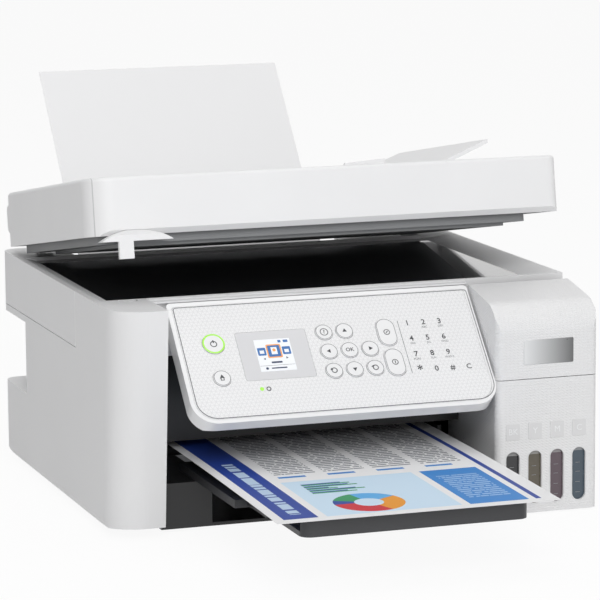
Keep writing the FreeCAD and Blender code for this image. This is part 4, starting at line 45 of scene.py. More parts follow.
class Surface(Enum):
    """Ways in which a finish varies over a piece, each named for the method that paints it."""

    PLAIN = "plain"
    GRAINED = "grained"
    SEAMED = "seamed"
    WAVED = "waved"
    TRIANGLES = "triangles"
    BRUSHED = "brushed"
    FADE = "fade"
    BOARD = "board"
    INK = "ink"
    PAGE = "page"


class Part(Enum):
    """Parts of a mesh that can be selected."""

    VERTEX = "VERT"
    EDGE = "EDGE"
    FACE = "FACE"


class Symbol(Enum):
    """Plain marks that are drawn on keys."""

    POWER = "power"
    HOUSE = "house"
    ARROW = "arrow"
    LOOP = "loop"
    BARRED = "barred"
    WORD = "word"
    CIRCLED = "circled"


class Form(Enum):
    """Forms that symbols and the display's picture are put together from."""

    RING = "ring"
    DISC = "disc"
    TRIANGLE = "triangle"
    PLATE = "plate"


class KeyShape(Enum):
    """Shapes of key, each with the radius of its ring in millimetres."""

    ROUND = 6.2
    POWER = 7.9
    LONG = 6.9


@dataclass(frozen=True)
class Seam:
    """A fine parting line on a moulding: dark where it is the joint itself, light where it is a painted
    highlight on its edge.

    Attributes:
        axis: number of the axis that the line crosses, 0 for X or 1 for Y.
        place: where it crosses that axis, in metres.
        width: its width in metres.
        limit: where it ends on the other of the two axes.
        color: its colour.
        share: how strongly it shows.
    """

    axis: int
    place: float
    width: float
    limit: float
    color: Color
    share: float


@dataclass(frozen=True)
class Finish:
    """A named surface finish.

    Attributes:
        name: name of the material.
        color: base colour in linear light.
        roughness: mean roughness.
        metallic: metalness.
        coat: weight of a clear coat.
        surface: how the finish varies.
        scale: size of the variation, in repeats per metre.
        depth: strength of the variation.
        glow: strength of the finish's own light.
        slot: the record's material slot that pieces with this finish belong to; not used.
        seam: a parting line on a seamed surface, dark as a joint or light as a painted highlight.
    """

    name: str
    color: Color
    roughness: float = 0.45
    metallic: float = 0.0
    coat: float = 0.0
    surface: Surface = Surface.GRAINED
    scale: float = 900.0
    depth: float = 0.05
    glow: float = 0.0
    slot: str = "key_grey"
    seam: Optional[Seam] = None


class Value:
    """A shader socket that can be used in ordinary arithmetic."""

    def __init__(self, graph: "Graph", socket: bpy.types.NodeSocket) -> None:
        """Keep a socket with the graph that it belongs to."""
        self.graph = graph
        self.socket = socket

    def __add__(self, other: object) -> "Value":
        """Return a sum."""
        return self.graph.math("ADD", self, other)

    def __radd__(self, other: object) -> "Value":
        """Return a sum with a plain number in front."""
        return self.graph.math("ADD", other, self)

    def __sub__(self, other: object) -> "Value":
        """Return a difference."""
        return self.graph.math("SUBTRACT", self, other)

    def __rsub__(self, other: object) -> "Value":
        """Return a difference from a plain number."""
        return self.graph.math("SUBTRACT", other, self)

    def __mul__(self, other: object) -> "Value":
        """Return a product."""
        return self.graph.math("MULTIPLY", self, other)

    def __rmul__(self, other: object) -> "Value":
        """Return a product with a plain number in front."""
        return self.graph.math("MULTIPLY", other, self)

    def __truediv__(self, other: object) -> "Value":
        """Return a quotient."""
        return self.graph.math("DIVIDE", self, other)

    def __rtruediv__(self, other: object) -> "Value":
        """Return a quotient of a plain number."""
        return self.graph.math("DIVIDE", other, self)

    def __gt__(self, other: object) -> "Value":
        """Return 1 where this value is the larger, else 0."""
        return self.graph.math("GREATER_THAN", self, other)

    def __lt__(self, other: object) -> "Value":
        """Return 1 where this value is the smaller, else 0."""
        return self.graph.math("LESS_THAN", self, other)

    def sine(self) -> "Value":
        """Return the sine of this value."""
        return self.graph.math("SINE", self)

    def root(self) -> "Value":
        """Return the square root of this value."""
        return self.graph.math("SQRT", self)

    def fraction(self) -> "Value":
        """Return the part after the decimal point."""
        return self.graph.math("FRACT", self)

    def whole(self) -> "Value":
        """Return the part before the decimal point."""
        return self.graph.math("FLOOR", self)

    def size(self) -> "Value":
        """Return the value without its sign."""
        return self.graph.math("ABSOLUTE", self)

    def least(self, other: object) -> "Value":
        """Return the smaller of two values."""
        return self.graph.math("MINIMUM", self, other)

    def most(self, other: object) -> "Value":
        """Return the larger of two values."""
        return self.graph.math("MAXIMUM", self, other)

    def between(self, low: float, high: float) -> "Value":
        """Return 1 where this value lies between two bounds, else 0."""
        return (self > low) * (self < high)


class Graph:
    """A node tree that is built through one method for all nodes."""

    def __init__(self, tree: bpy.types.NodeTree) -> None:
        """Keep the tree."""
        self.tree = tree

    def add(self, kind: str, sockets: Optional[Dict[object, object]] = None,
            **settings: object) -> bpy.types.Node:
        """Add any node, set its properties and feed its sockets.

        Args:
            kind: the node's type name.
            sockets: inputs by name or number, each with a Value or a constant.
            settings: properties to set on the node first.

        Returns:
            The new node.
        """
        node = self.tree.nodes.new(kind)
        for key, value in settings.items():
            setattr(node, key, value)
        for key, value in (sockets or {}).items():
            self.feed(node.inputs[key], value)
        return node

    def feed(self, socket: bpy.types.NodeSocket, value: object) -> None:
        """Link a value to a socket, or set it there as a constant.

        Args:
            socket: the input.
            value: a Value, or a constant.
        """
        if isinstance(value, Value):
            self.tree.links.new(value.socket, socket)
        else:
            socket.default_value = value

    def math(self, operation: str, *operands: object) -> Value:
        """Return the result of one operation on numbers."""
        node = self.add("ShaderNodeMath", dict(enumerate(operands)), operation=operation)
        return Value(self, node.outputs[0])

    def vector(self, x: object, y: object, z: object) -> Value:
        """Join three values to a vector."""
        node = self.add("ShaderNodeCombineXYZ", {0: x, 1: y, 2: z})
        return Value(self, node.outputs[0])

    def place(self) -> Tuple[Value, Value, Value]:
        """Find the place on a piece.

        Returns:
            The piece's own X, Y and Z, in metres.
        """
        coordinates = self.add("ShaderNodeTexCoord")
        split = self.add("ShaderNodeSeparateXYZ", {0: Value(self, coordinates.outputs["Object"])})
        return tuple(Value(self, split.outputs[i]) for i in range(3))

    def seen(self) -> Value:
        """Tell what the eye sees from what only lights the scene.

        Returns:
            1 for rays from the camera and for what metal and glass show, else 0.
        """
        path = self.add("ShaderNodeLightPath")
        names = ("Is Camera Ray", "Is Glossy Ray", "Is Transmission Ray")
        camera, glossy, through = (Value(self, path.outputs[name]) for name in names)
        return camera.most(glossy).most(through)

    def noise(self, scale: float, detail: float = 2.0, where: Optional[Value] = None) -> Value:
        """Return a noise field.

        Args:
            scale: repeats per metre.
            detail: how many finer layers it has.
            where: coordinates, or the object's own.

        Returns:
            Values about 0.5.
        """
        spot = where if where else self.vector(*self.place())
        node = self.add("ShaderNodeTexNoise", {"Scale": scale, "Detail": detail, "Vector": spot})
        return Value(self, node.outputs["Fac"])

    def mix(self, share: object, low: object, high: object) -> Value:
        """Blend two colours.

        Args:
            share: how much of the second colour.
            low: first colour.
            high: second colour.

        Returns:
            The blended colour.
        """
        ends = [color if isinstance(color, Value) else (*color, 1.0) for color in (low, high)]
        node = self.add("ShaderNodeMix", {0: share, 6: ends[0], 7: ends[1]}, data_type="RGBA")
        return Value(self, node.outputs[2])


NAVY: Color = (0.012, 0.045, 0.28)
MID_BLUE: Color = (0.034, 0.22, 0.58)
SKY_BLUE: Color = (0.60, 0.76, 0.90)
LEAF_GREEN: Color = (0.028, 0.27, 0.10)
INK_GREY: Color = (0.18, 0.19, 0.22)
SHEET_LEFT = -0.125
SHEET_FRONT = -0.3415
SHEET_WIDTH = 0.210
SHEET_LENGTH = 0.297


@dataclass(frozen=True)
class Patch:
    """A printed rectangle, in shares of the sheet's width and length."""

    left: float
    right: float
    low: float
    high: float
    color: Color

    def mask(self, u: Value, v: Value) -> Value:
        """Return 1 on the rectangle, else 0, by shares of the sheet's width and length."""
        return u.between(self.left, self.right) * v.between(self.low, self.high)


@dataclass(frozen=True)
class BarChart:
    """A printed chart of paired bars, in shares of the sheet's width and length.

    Attributes:
        left: where the bars start.
        low: where the first pair lies.
        high: where the last pair ends.
        pairs: pairs on a whole sheet's length.
        mean: where a middling bar ends.
        swing: how far bars differ from that.
        turn: how quickly their lengths change.
        first: share of a pair's height that the first bar fills.
        second: share at which the second bar ends.
        shorter: how much shorter the second bar is.
    """

    left: float = 0.24
    low: float = 0.24
    high: float = 0.34
    pairs: float = 50.0
    mean: float = 0.40
    swing: float = 0.05
    turn: float = 2.3
    first: float = 0.42
    second: float = 0.78
    shorter: float = 0.03

    def draw(self, graph: Graph, u: Value, v: Value, color: Value) -> Value:
        """Print the chart.

        Args:
            graph: the material.
            u: share of the sheet's width.
            v: share of the sheet's length.
            color: what is printed below it.

        Returns:
            The colour with the chart on it.
        """
        row = (v - self.low) * self.pairs
        end = (row.whole() * self.turn).sine() * self.swing + self.mean
        inside = v.between(self.low, self.high) * (u > self.left) * (u < end)
        color = graph.mix(inside * (row.fraction() < self.first), color, LEAF_GREEN)
        second = row.fraction().between(self.first, self.second) * (u < end - self.shorter)
        return graph.mix(inside * second, color, NAVY)


@dataclass(frozen=True)
class RingChart:
    """A printed ring of coloured sectors."""

    u: float = 0.38
    v: float = 0.125
    inner: float = 0.0105
    outer: float = 0.0255
    sectors: Tuple[Tuple[float, Color], ...] = (
        (-3.15, (0.55, 0.012, 0.024)),
        (-1.2, (0.78, 0.30, 0.012)),
        (0.5, (0.10, 0.40, 0.76)),
        (1.8, LEAF_GREEN),
        (2.7, NAVY),
    )

    def draw(self, graph: Graph, u: Value, v: Value, color: Value) -> Value:
        """Print the chart.

        Args:
            graph: the material.
            u: share of the sheet's width.
            v: share of the sheet's length.
            color: what is printed below it.

        Returns:
            The colour with the chart on it.
        """
        across = (u - self.u) * SHEET_WIDTH
        along = (v - self.v) * SHEET_LENGTH
        ring = (across * across + along * along).root().between(self.inner, self.outer)
        angle = graph.math("ARCTAN2", along, across)
        for start, shade in self.sectors:
            color = graph.mix(ring * (angle > start), color, shade)
        return color


BAND = Patch(0.035, 0.155, 0.03, 0.97, NAVY)
CHART_FIELD = Patch(0.185, 0.66, 0.03, 0.37, SKY_BLUE)
NOTE_FIELD = Patch(0.69, 0.90, 0.03, 0.37, MID_BLUE)
NOTE_PRINT = Patch(0.72, 0.87, 0.09, 0.31, SKY_BLUE)
EDGE_LINE = Patch(0.925, 0.945, 0.03, 0.97, NAVY)
TITLE = Patch(0.075, 0.115, 0.07, 0.6, SKY_BLUE)
COLUMN_LEFTS = (0.20, 0.38, 0.56, 0.74)
COLUMNS = tuple(Patch(left, left + 0.15, 0.44, 0.95, INK_GREY) for left in COLUMN_LEFTS)
HEADINGS = tuple(Patch(left, left + 0.1, 0.41, 0.425, MID_BLUE) for left in COLUMN_LEFTS)


def scaled(color: Color, share: float) -> Color:
    """Return a colour made darker or brighter by a share."""
    return tuple(channel * share for channel in color)


class Paint(Graph):
    """A finish's material, with one method for each way in which a finish can vary."""

    RELIEF = 0.0002
    DRIFT = 14.0
    DRIFT_SHADE = 0.95
    WAVE_LEAN = 0.6
    WAVE_PITCH = 1900.0
    WAVE_SWAY = 1.3
    GRID_TURNS = (0.0, 60.0, -60.0)
    GRID_LINE = 0.84
    GRID_SHARE = 0.24
    GRID_GREY: Color = (0.38, 0.38, 0.39)
    STREAK_ALONG = 8.0
    STREAK_ACROSS = 900.0
    TRACKS = 260.0
    TRACK_BANDS = 9.0
    TRACK_WIDTH = 0.3
    TRACK_SHARE = 0.5
    TRACK_SHADE = 1.8
    BOARD_TOP = 0.0321
    SOCKET_BLACK: Color = (0.016, 0.016, 0.018)
    # Start, length and darkest share of the painted reflection that darkens the silver plate to the right.
    FADE_START = 0.127
    FADE_LENGTH = 0.042
    FADE_SHADE = 0.17
    INK_LEVEL = 0.0445
    INK_RIPPLE = 0.003
    CLEAR_SHARE = 0.55
    CLEAR_TONE = 0.25
    PRINT_ROWS = 56.0
    PRINT_HEIGHT = 0.45
    WORDS = 60.0
    WORD_GAP = 0.42
    NOTE_SHARE = 0.55
    TITLE_STROKES = 48.0
    TITLE_DRAW = 3.0
    TITLE_GAP = 0.45
    TITLE_SHARE = 0.8
    FIBRES = 3000.0

    def __init__(self, finish: Finish) -> None:
        """Start a material with the constant values of a finish.

        Args:
            finish: the finish.
        """
        self.finish = finish
        self.material = bpy.data.materials.new(finish.name)
        self.material.use_nodes = True
        super().__init__(self.material.node_tree)
        self.shader = self.tree.nodes["Principled BSDF"]
        self.output = self.tree.nodes["Material Output"]
        self.set("Base Color", (*finish.color, 1.0))
        self.set("Roughness", finish.roughness)
        self.set("Metallic", finish.metallic)
        self.set("Coat Weight", finish.coat)
        if finish.glow:
            self.set("Emission Color", (*finish.color, 1.0))
            self.set("Emission Strength", finish.glow)

    def set(self, name: str, value: object) -> None:
        """Set one input of the principled shader."""
        self.feed(self.shader.inputs[name], value)

    def bump(self, height: Value, strength: float, distance: float = RELIEF) -> None:
        """Raise the surface by a height field.

        Args:
            height: the field.
            strength: how strongly it shows.
            distance: height of one unit, in metres.
        """
        node = self.add("ShaderNodeBump", {"Strength": strength, "Distance": distance, "Height": height})
        self.set("Normal", Value(self, node.outputs["Normal"]))

    def worn(self, pattern: Value, swing: float) -> None:
        """Let the roughness swing about its mean by a pattern."""
        self.set("Roughness", pattern * swing + (self.finish.roughness - swing / 2))

    def tone(self) -> Value:
        """Let the colour drift very slightly over the piece.

        Returns:
            The drifting colour.
        """
        color = self.finish.color
        drift = self.mix(self.noise(self.DRIFT), color, scaled(color, self.DRIFT_SHADE))
        self.set("Base Color", drift)
        return drift

    def plain(self) -> None:
        """Vary the tone and the roughness a little, as on a moulded surface."""
        self.tone()
        self.worn(self.noise(scale=60.0), swing=0.06)

    def grained(self) -> Value:
        """Add the fine grain of matt moulded plastic.

        Returns:
            Its colour.
        """
        grain = self.noise(self.finish.scale, detail=3.0)
        self.worn(grain, swing=0.08)
        self.bump(grain, self.finish.depth)
        return self.tone()

    def seamed(self) -> None:
        """Draw a parting line on grained plastic: dark as a joint, or light as a painted highlight."""
        seam = self.finish.seam
        color = self.grained()
        spot = self.place()
        line = spot[seam.axis].between(seam.place - seam.width / 2, seam.place + seam.width / 2)
        line = line * (spot[1 - seam.axis] < seam.limit)
        self.set("Base Color", self.mix(line * seam.share, color, seam.color))

    def waved(self) -> None:
        """Add fine raised waves that run across the piece."""
        self.tone()
        x, y, z = self.place()
        rise = (z + y * self.WAVE_LEAN) * self.finish.scale
        waves = (rise + (x * self.WAVE_PITCH).sine() * self.WAVE_SWAY).sine()
        self.bump(waves, self.finish.depth)

    def triangles(self) -> None:
        """Add a fine grid of small triangles on the panel's face."""
        x, y, z = self.place()
        lean = math.radians(PANEL_LEAN)
        across = x * self.finish.scale
        down = (y * math.sin(lean) + z * math.cos(lean)) * self.finish.scale
        grid = None
        for turn in map(math.radians, self.GRID_TURNS):
            rise = across * math.sin(turn) + down * math.cos(turn)
            line = (rise.fraction() - 0.5).size() * 2.0
            grid = line if grid is None else grid.most(line)
        dark = (grid > self.GRID_LINE) * self.GRID_SHARE
        self.set("Base Color", self.mix(dark, self.finish.color, self.GRID_GREY))
        self.bump(grid, self.finish.depth)

    def brushed(self) -> None:
        """Add long fine scratches along X."""
        x, y, z = self.place()
        spot = self.vector(x * self.STREAK_ALONG, y * self.STREAK_ACROSS, z * self.STREAK_ACROSS)
        self.worn(self.noise(scale=1.0, where=spot), swing=0.2)

    def board(self) -> None:
        """Show the board in its lacquer and the sockets on it in black."""
        color = self.finish.color
        height = self.place()[2]
        tracks = (self.noise(self.TRACKS, detail=1.0) * self.TRACK_BANDS).fraction() < self.TRACK_WIDTH
        lacquer = self.mix(tracks * self.TRACK_SHARE, color, scaled(color, self.TRACK_SHADE))
        self.set("Base Color", self.mix(height > self.BOARD_TOP, lacquer, self.SOCKET_BLACK))

    def fade(self) -> None:
        """Let a bright metal plate darken towards its right end, as a painted reflection."""
        color = self.finish.color
        share = ((self.place()[0] - self.FADE_START) / self.FADE_LENGTH).least(1.0).most(0.0)
        self.set("Base Color", self.mix(share, color, scaled(color, self.FADE_SHADE)))
        self.worn(self.noise(scale=400.0), swing=0.1)

    def ink(self) -> None:
        """Show the ink level: dark below, paler clear plastic above."""
        color = self.finish.color
        level = self.noise(scale=30.0) * self.INK_RIPPLE + self.INK_LEVEL
        pale = tuple(self.CLEAR_SHARE * channel + self.CLEAR_TONE for channel in color)
        self.set("Base Color", self.mix(self.place()[2] > level, color, pale))

    def page(self) -> None:
        """Print a plain made-up leaflet on the sheet in front and leave the rear sheet blank."""
        x, y, _ = self.place()
        u = (x - SHEET_LEFT) / SHEET_WIDTH
        v = (y - SHEET_FRONT) / SHEET_LENGTH
        color: object = self.finish.color
        for patch in (BAND, CHART_FIELD, NOTE_FIELD, EDGE_LINE, *HEADINGS):
            color = self.mix(patch.mask(u, v), color, patch.color)
        for chart in (BarChart(), RingChart()):
            color = chart.draw(self, u, v, color)
        marks = self.small_print(u, v)
        for column in COLUMNS:
            color = self.mix(column.mask(u, v) * marks, color, column.color)
        color = self.mix(NOTE_PRINT.mask(u, v) * marks * self.NOTE_SHARE, color, NOTE_PRINT.color)
        along = self.vector(0.0, v * self.TITLE_STROKES, self.TITLE_DRAW)
        strokes = self.noise(scale=1.0, detail=1.0, where=along) > self.TITLE_GAP
        color = self.mix(TITLE.mask(u, v) * strokes * self.TITLE_SHARE, color, TITLE.color)
        self.set("Base Color", self.mix(y < 0.0, self.finish.color, color))
        self.bump(self.noise(self.FIBRES), strength=0.02, distance=self.RELIEF / 2)

    def small_print(self, u: Value, v: Value) -> Value:
        """Return a mask like lines of small print that say nothing.

        Args:
            u: share of the sheet's width.
            v: share of the sheet's length.

        Returns:
            The mask.
        """
        row = v * self.PRINT_ROWS
        spot = self.vector(u * self.WORDS, row.whole(), 0.0)
        words = self.noise(scale=1.0, detail=1.0, where=spot) > self.WORD_GAP
        return (row.fraction() < self.PRINT_HEIGHT) * words


class Finisher:
    """Makes each material once and gives it to pieces."""

    def __init__(self) -> None:
        """Start with no materials."""
        self.made: Dict[str, bpy.types.Material] = {}

    def material(self, finish: Finish) -> bpy.types.Material:
        """Return a finish's material, made at first use.

        Args:
            finish: the finish.

        Returns:
            Its material.
        """
        if finish.name not in self.made:
            paint = Paint(finish)
            getattr(paint, finish.surface.value)()
            self.made[finish.name] = paint.material
        return self.made[finish.name]

    def dress(self, piece: bpy.types.Object, finish: Finish) -> None:
        """Give a piece one finish."""
        piece.data.materials.clear()
        piece.data.materials.append(self.material(finish))


WHITE = Finish("white plastic", (0.81, 0.81, 0.815), 0.42)
SHADE_WHITE = Finish("cover plastic", (0.83, 0.83, 0.835), 0.4, scale=1200.0)
GLOSS = Finish("gloss white", (0.86, 0.86, 0.865), 0.2, coat=0.5, surface=Surface.PLAIN)
FACE = Finish("panel face", (0.84, 0.84, 0.845), 0.38, surface=Surface.TRIANGLES, scale=330.0, depth=0.25)
WAVES = Finish("waved white", (0.80, 0.80, 0.805), 0.42, surface=Surface.WAVED, scale=3000.0, depth=0.34)
LID_SEAM = Seam(0, -0.182, 0.0007, -0.08, (0.3, 0.3, 0.305), 0.45)
LID_WHITE = Finish("lid plastic", SHADE_WHITE.color, 0.4, surface=Surface.SEAMED, scale=1200.0, seam=LID_SEAM)
# A pure white line on the scanner case's left end, brighter than the plastic: a painted highlight along the
# parting line.
CASE_SEAM_HIGHLIGHT = Seam(1, -0.0535, 0.0026, -0.18, (1.0, 1.0, 1.0), 1.0)
CASE_WHITE = Finish("scanner plastic", WHITE.color, 0.42, surface=Surface.SEAMED, seam=CASE_SEAM_HIGHLIGHT)
PALE = Finish("pale grey plastic", (0.42, 0.43, 0.44), 0.5)
FRAME_GREY = Finish("frame grey", (0.20, 0.205, 0.21), 0.5)
BLACK = Finish("black plastic", (0.012, 0.012, 0.013), 0.32)
SATIN_BLACK = Finish("satin black", (0.02, 0.02, 0.022), 0.28, coat=0.2, surface=Surface.PLAIN)
CHARCOAL = Finish("charcoal plastic", (0.036, 0.037, 0.04), 0.42)
RUBBER = Finish("rubber", (0.018, 0.018, 0.018), 0.7)
STEEL = Finish("rolled steel", (0.55, 0.56, 0.58), 0.35, 1.0, surface=Surface.BRUSHED)
GEAR = Finish("gear plastic", (0.7, 0.68, 0.62), 0.45)
BOARD = Finish("circuit board", (0.02, 0.16, 0.06), 0.4, surface=Surface.BOARD)
GLASS = Finish("bed glass", (0.006, 0.006, 0.007), 0.08, coat=0.6, surface=Surface.PLAIN)
SCREEN = Finish("screen plate", (0.68, 0.68, 0.695), 0.25, coat=0.2, surface=Surface.PLAIN)
KEY = Finish("key white", (0.85, 0.85, 0.855), 0.3, surface=Surface.PLAIN)
# The silver plate's colour darkens to the right: a painted reflection on the metal.
SILVER = Finish("silver plate", (0.72, 0.73, 0.74), 0.3, 0.7, surface=Surface.FADE, slot="steel")
PRINT_GREY = Finish("printed grey", (0.05, 0.052, 0.058), 0.5, surface=Surface.PLAIN)
PRINT_FAINT = Finish("printed pale grey", (0.25, 0.255, 0.265), 0.5, surface=Surface.PLAIN)
PRINT_LINE = Finish("printed line", (0.16, 0.165, 0.175), 0.4, surface=Surface.PLAIN)
LED_GREEN = Finish("green light", (0.35, 0.75, 0.08), 0.4, surface=Surface.PLAIN, glow=0.25)
PAD = Finish("label pad", (0.73, 0.73, 0.735), 0.4, surface=Surface.PLAIN, slot="white_plastic")
LETTER = Finish("raised letter", (0.88, 0.89, 0.90), 0.4, surface=Surface.PLAIN, slot="white_plastic")
BORDER = Finish("window border", (0.76, 0.76, 0.765), 0.3, surface=Surface.PLAIN, slot="white_plastic")
PAGE = Finish("paper", (0.84, 0.84, 0.845), 0.55, surface=Surface.PAGE, slot="paper")
LCD = Finish("display blue", (0.035, 0.14, 0.38), 0.15, surface=Surface.PLAIN, glow=0.2, slot="screen_dark")
LCD_WHITE = Finish(
    "display white", (0.85, 0.87, 0.90), 0.15, surface=Surface.PLAIN, glow=0.1, slot="screen_dark"
)
LCD_DARK = Finish("display dark", (0.02, 0.04, 0.10), 0.15, surface=Surface.PLAIN, slot="screen_dark")
LCD_ORANGE = Finish(
    "display orange", (0.85, 0.36, 0.10), 0.15, surface=Surface.PLAIN, glow=0.1, slot="screen_dark"
)
FLOOR = Finish("floor white", (0.9, 0.9, 0.9), 0.9)
INKS: Dict[str, Color] = {
    "black": (0.02, 0.02, 0.022),
    "yellow": (0.10, 0.085, 0.06),
    "magenta": (0.10, 0.07, 0.085),
    "cyan": (0.05, 0.075, 0.10),
}
CAPS: Dict[str, Color] = {
    "black_cap": (0.03, 0.03, 0.03),
    "yellow_cap": (0.75, 0.55, 0.03),
    "magenta_cap": (0.55, 0.03, 0.2),
    "cyan_cap": (0.02, 0.25, 0.55),
}
NODE_FINISHES: Dict[str, Finish] = {
    "outer_housing": WHITE, "tank_housing": WAVES, "tank_cover": WAVES, "scanner_case": CASE_WHITE,
    "document_cover": LID_WHITE, "cover_grip": SHADE_WHITE, "adf_hatch": SHADE_WHITE,
    "adf_tray": SHADE_WHITE, "adf_guide": SHADE_WHITE, "paper_support": WHITE, "support_extender": WHITE,
    "front_beam": WHITE, "paper_feeder": WHITE, "panel_case": GLOSS, "panel_face": FACE,
    "cover_frame": FRAME_GREY, "left_edge_guide": PALE, "right_edge_guide": PALE, "base_tray": BLACK,
    "exit_frame": BLACK, "platen": SATIN_BLACK, "carriage": SATIN_BLACK, "capping_station": BLACK,
    "output_tray": CHARCOAL, "tray_extension": CHARCOAL, "rubber_feet": RUBBER, "timing_belt": RUBBER,
    "feed_roller": RUBBER, "exit_roller": RUBBER, "pickup_roller": RUBBER, "adf_roller": RUBBER,
    "carriage_rail": STEEL, "drive_motors": STEEL, "power_supply": STEEL, "paper_sheets": PAGE,
    "idler_gear": GEAR, "motor_pinion": GEAR, "drive_pulley": GEAR, "idler_pulley": GEAR,
    "main_board": BOARD, "scanner_glass": GLASS, "scan_bar": CHARCOAL, "panel_screen": SCREEN,
    "ink_tanks": CHARCOAL,
}


@dataclass
class Workshop:
    """Makes pieces with the modelling operators, from sizes in millimetres."""

    finisher: Finisher = field(default_factory=Finisher)
    shapes: Dict[Tuple[object, ...], bpy.types.Mesh] = field(default_factory=dict)
    count: int = 0
    soft_share: float = 0.3
    ring_sides: int = 48
    ring_faces: int = 6
    ring_flat: float = 0.3
    letter_thick: float = 0.04

    def activate(self, piece: bpy.types.Object) -> None:
        """Make a piece the active one and the only one that is selected.

        Args:
            piece: the piece.
        """
        bpy.ops.object.select_all(action="DESELECT")
        piece.select_set(True)
        bpy.context.view_layer.objects.active = piece

    def pick(self, kind: Part, chosen: Callable[[object], bool]) -> None:
        """Enter edit mode on the active piece with some parts of its mesh selected.

        Args:
            kind: vertices, edges or faces.
            chosen: tells whether a part is selected.
        """
        mesh = bpy.context.active_object.data
        bpy.ops.object.mode_set(mode="EDIT")
        bpy.ops.mesh.select_mode(type=kind.value)
        bpy.ops.mesh.select_all(action="DESELECT")
        bpy.ops.object.mode_set(mode="OBJECT")
        parts = {Part.VERTEX: mesh.vertices, Part.EDGE: mesh.edges, Part.FACE: mesh.polygons}
        for part in parts[kind]:
            part.select = chosen(part)
        bpy.ops.object.mode_set(mode="EDIT")

    def modify(self, kind: str, **settings: object) -> None:
        """Add a modifier to the active piece, set it and apply it.

        Args:
            kind: the modifier's type.
            settings: its properties.
        """
        bpy.ops.object.modifier_add(type=kind)
        modifier = bpy.context.active_object.modifiers[-1]
        for key, value in settings.items():
            setattr(modifier, key, value)
        bpy.ops.object.modifier_apply(modifier=modifier.name)

    def _copy(self, shape: Tuple[object, ...]) -> bool:
        """Clear the selection and bring in a copy of a shape that was modelled before.

        Args:
            shape: the shape's kind and sizes.

        Returns:
            Whether there was one, which is now the active piece and has its own mesh.
        """
        bpy.ops.object.select_all(action="DESELECT")
        if shape not in self.shapes:
            return False
        piece = bpy.data.objects.new("copy", self.shapes[shape].copy())
        bpy.context.collection.objects.link(piece)
        self.activate(piece)
        return True

    def _keep(self, shape: Tuple[object, ...]) -> None:
        """Keep the active piece's mesh, to copy it when the shape is needed again."""
        self.shapes[shape] = bpy.context.active_object.data.copy()

    def _end(self, name: str, body: str, finish: Finish, matrix: Matrix) -> bpy.types.Object:
        """Name, place, dress and attach the active piece.

        Args:
            name: the piece's name.
            body: the body that it rides on.
            finish: its finish.
            matrix: its place in the shared frame.

        Returns:
            The piece, at the origin with its place in its mesh.
        """
        piece = bpy.context.active_object
        piece.matrix_world = matrix
        bpy.context.view_layer.update()
        self.activate(piece)
        bpy.ops.object.transform_apply(location=True, rotation=True, scale=True)
        piece.name = name
        self.finisher.dress(piece, finish)
        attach(piece, body)
        self.count += 1
        log.info("piece %s: %d faces", name, len(piece.data.polygons))
        return piece

    def _round_corners(self, size: Sequence[float], radius: float, side: float, segments: int) -> None:
        """Round the two upright edges at one end of the active block.

        Args:
            size: the block's width, height and thickness in metres.
            radius: corner radius in metres.
            side: 1 for the upper end, -1 for the lower.
            segments: faces in each corner.
        """
        vertices = bpy.context.active_object.data.vertices
        near = 0.499

        def upright(edge: bpy.types.MeshEdge) -> bool:
            """Find the two edges.

            Args:
                edge: an edge of the block.

            Returns:
                Whether it is one of them.
            """
            a, b = (vertices[i].co for i in edge.vertices)
            at_end = abs(a.x) > size[0] * near and a.y * side > size[1] * near
            return at_end and abs(a.z - b.z) > size[2] / 2

        self.pick(Part.EDGE, upright)
        bpy.ops.mesh.bevel(offset=radius, segments=segments, affect="EDGES")
        bpy.ops.object.mode_set(mode="OBJECT")

    def plate(self, name: str, body: str, finish: Finish, size: Sequence[float], matrix: Matrix,
              corner: float = 0.0, segments: int = 6, top_corner: Optional[float] = None) -> bpy.types.Object:
        """Make a flat plate with rounded corners.

        Args:
            name: the piece's name.
            body: the body that it rides on.
            finish: its finish.
            size: width, height and thickness.
            matrix: place of the plate's middle.
            corner: corner radius.
            segments: faces in each corner.
            top_corner: radius of the upper corners, where it differs.

        Returns:
            The piece.
        """
        top = corner if top_corner is None else top_corner
        shape = ("plate", *size, corner, top, segments)
        if not self._copy(shape):
            block = [side * MM for side in size]
            bpy.ops.mesh.primitive_cube_add(size=1.0)
            bpy.context.active_object.scale = block
            bpy.ops.object.transform_apply(scale=True)
            for radius, end in ((corner, -1.0), (top, 1.0)):
                if radius > 0.0:
                    self._round_corners(block, radius * MM, end, segments)
            self.modify("BEVEL", width=min(block) * self.soft_share, segments=1)
            self._keep(shape)
        return self._end(name, body, finish, matrix)

    def ring(self, name: str, body: str, finish: Finish, radius: float, line: float, matrix: Matrix,
             apart: float = 0.0) -> None:
        """Make a thin raised ring, round or drawn out to an oval.

        Args:
            name: the piece's name.
            body: the body that it rides on.
            finish: its finish.
            radius: radius of the ring.
            line: width of its line.
            matrix: its place.
            apart: how far each half is drawn away from the middle.
        """
        shape = ("ring", radius, line, apart)
        if not self._copy(shape):
            bpy.ops.mesh.primitive_torus_add(
                major_radius=radius * MM, minor_radius=line * MM / 2,
                major_segments=self.ring_sides, minor_segments=self.ring_faces,
            )
            self.pick(Part.VERTEX, lambda vertex: True)
            bpy.ops.transform.resize(value=(1.0, 1.0, self.ring_flat), center_override=(0.0, 0.0, 0.0))
            bpy.ops.object.mode_set(mode="OBJECT")
            if apart:
                self.pick(Part.VERTEX, lambda vertex: vertex.co.y > 0.0)
                bpy.ops.transform.translate(value=(0.0, apart * MM, 0.0))
                bpy.ops.mesh.select_all(action="INVERT")
                bpy.ops.transform.translate(value=(0.0, -apart * MM, 0.0))
                bpy.ops.object.mode_set(mode="OBJECT")
            self._keep(shape)
        self._end(name, body, finish, matrix)

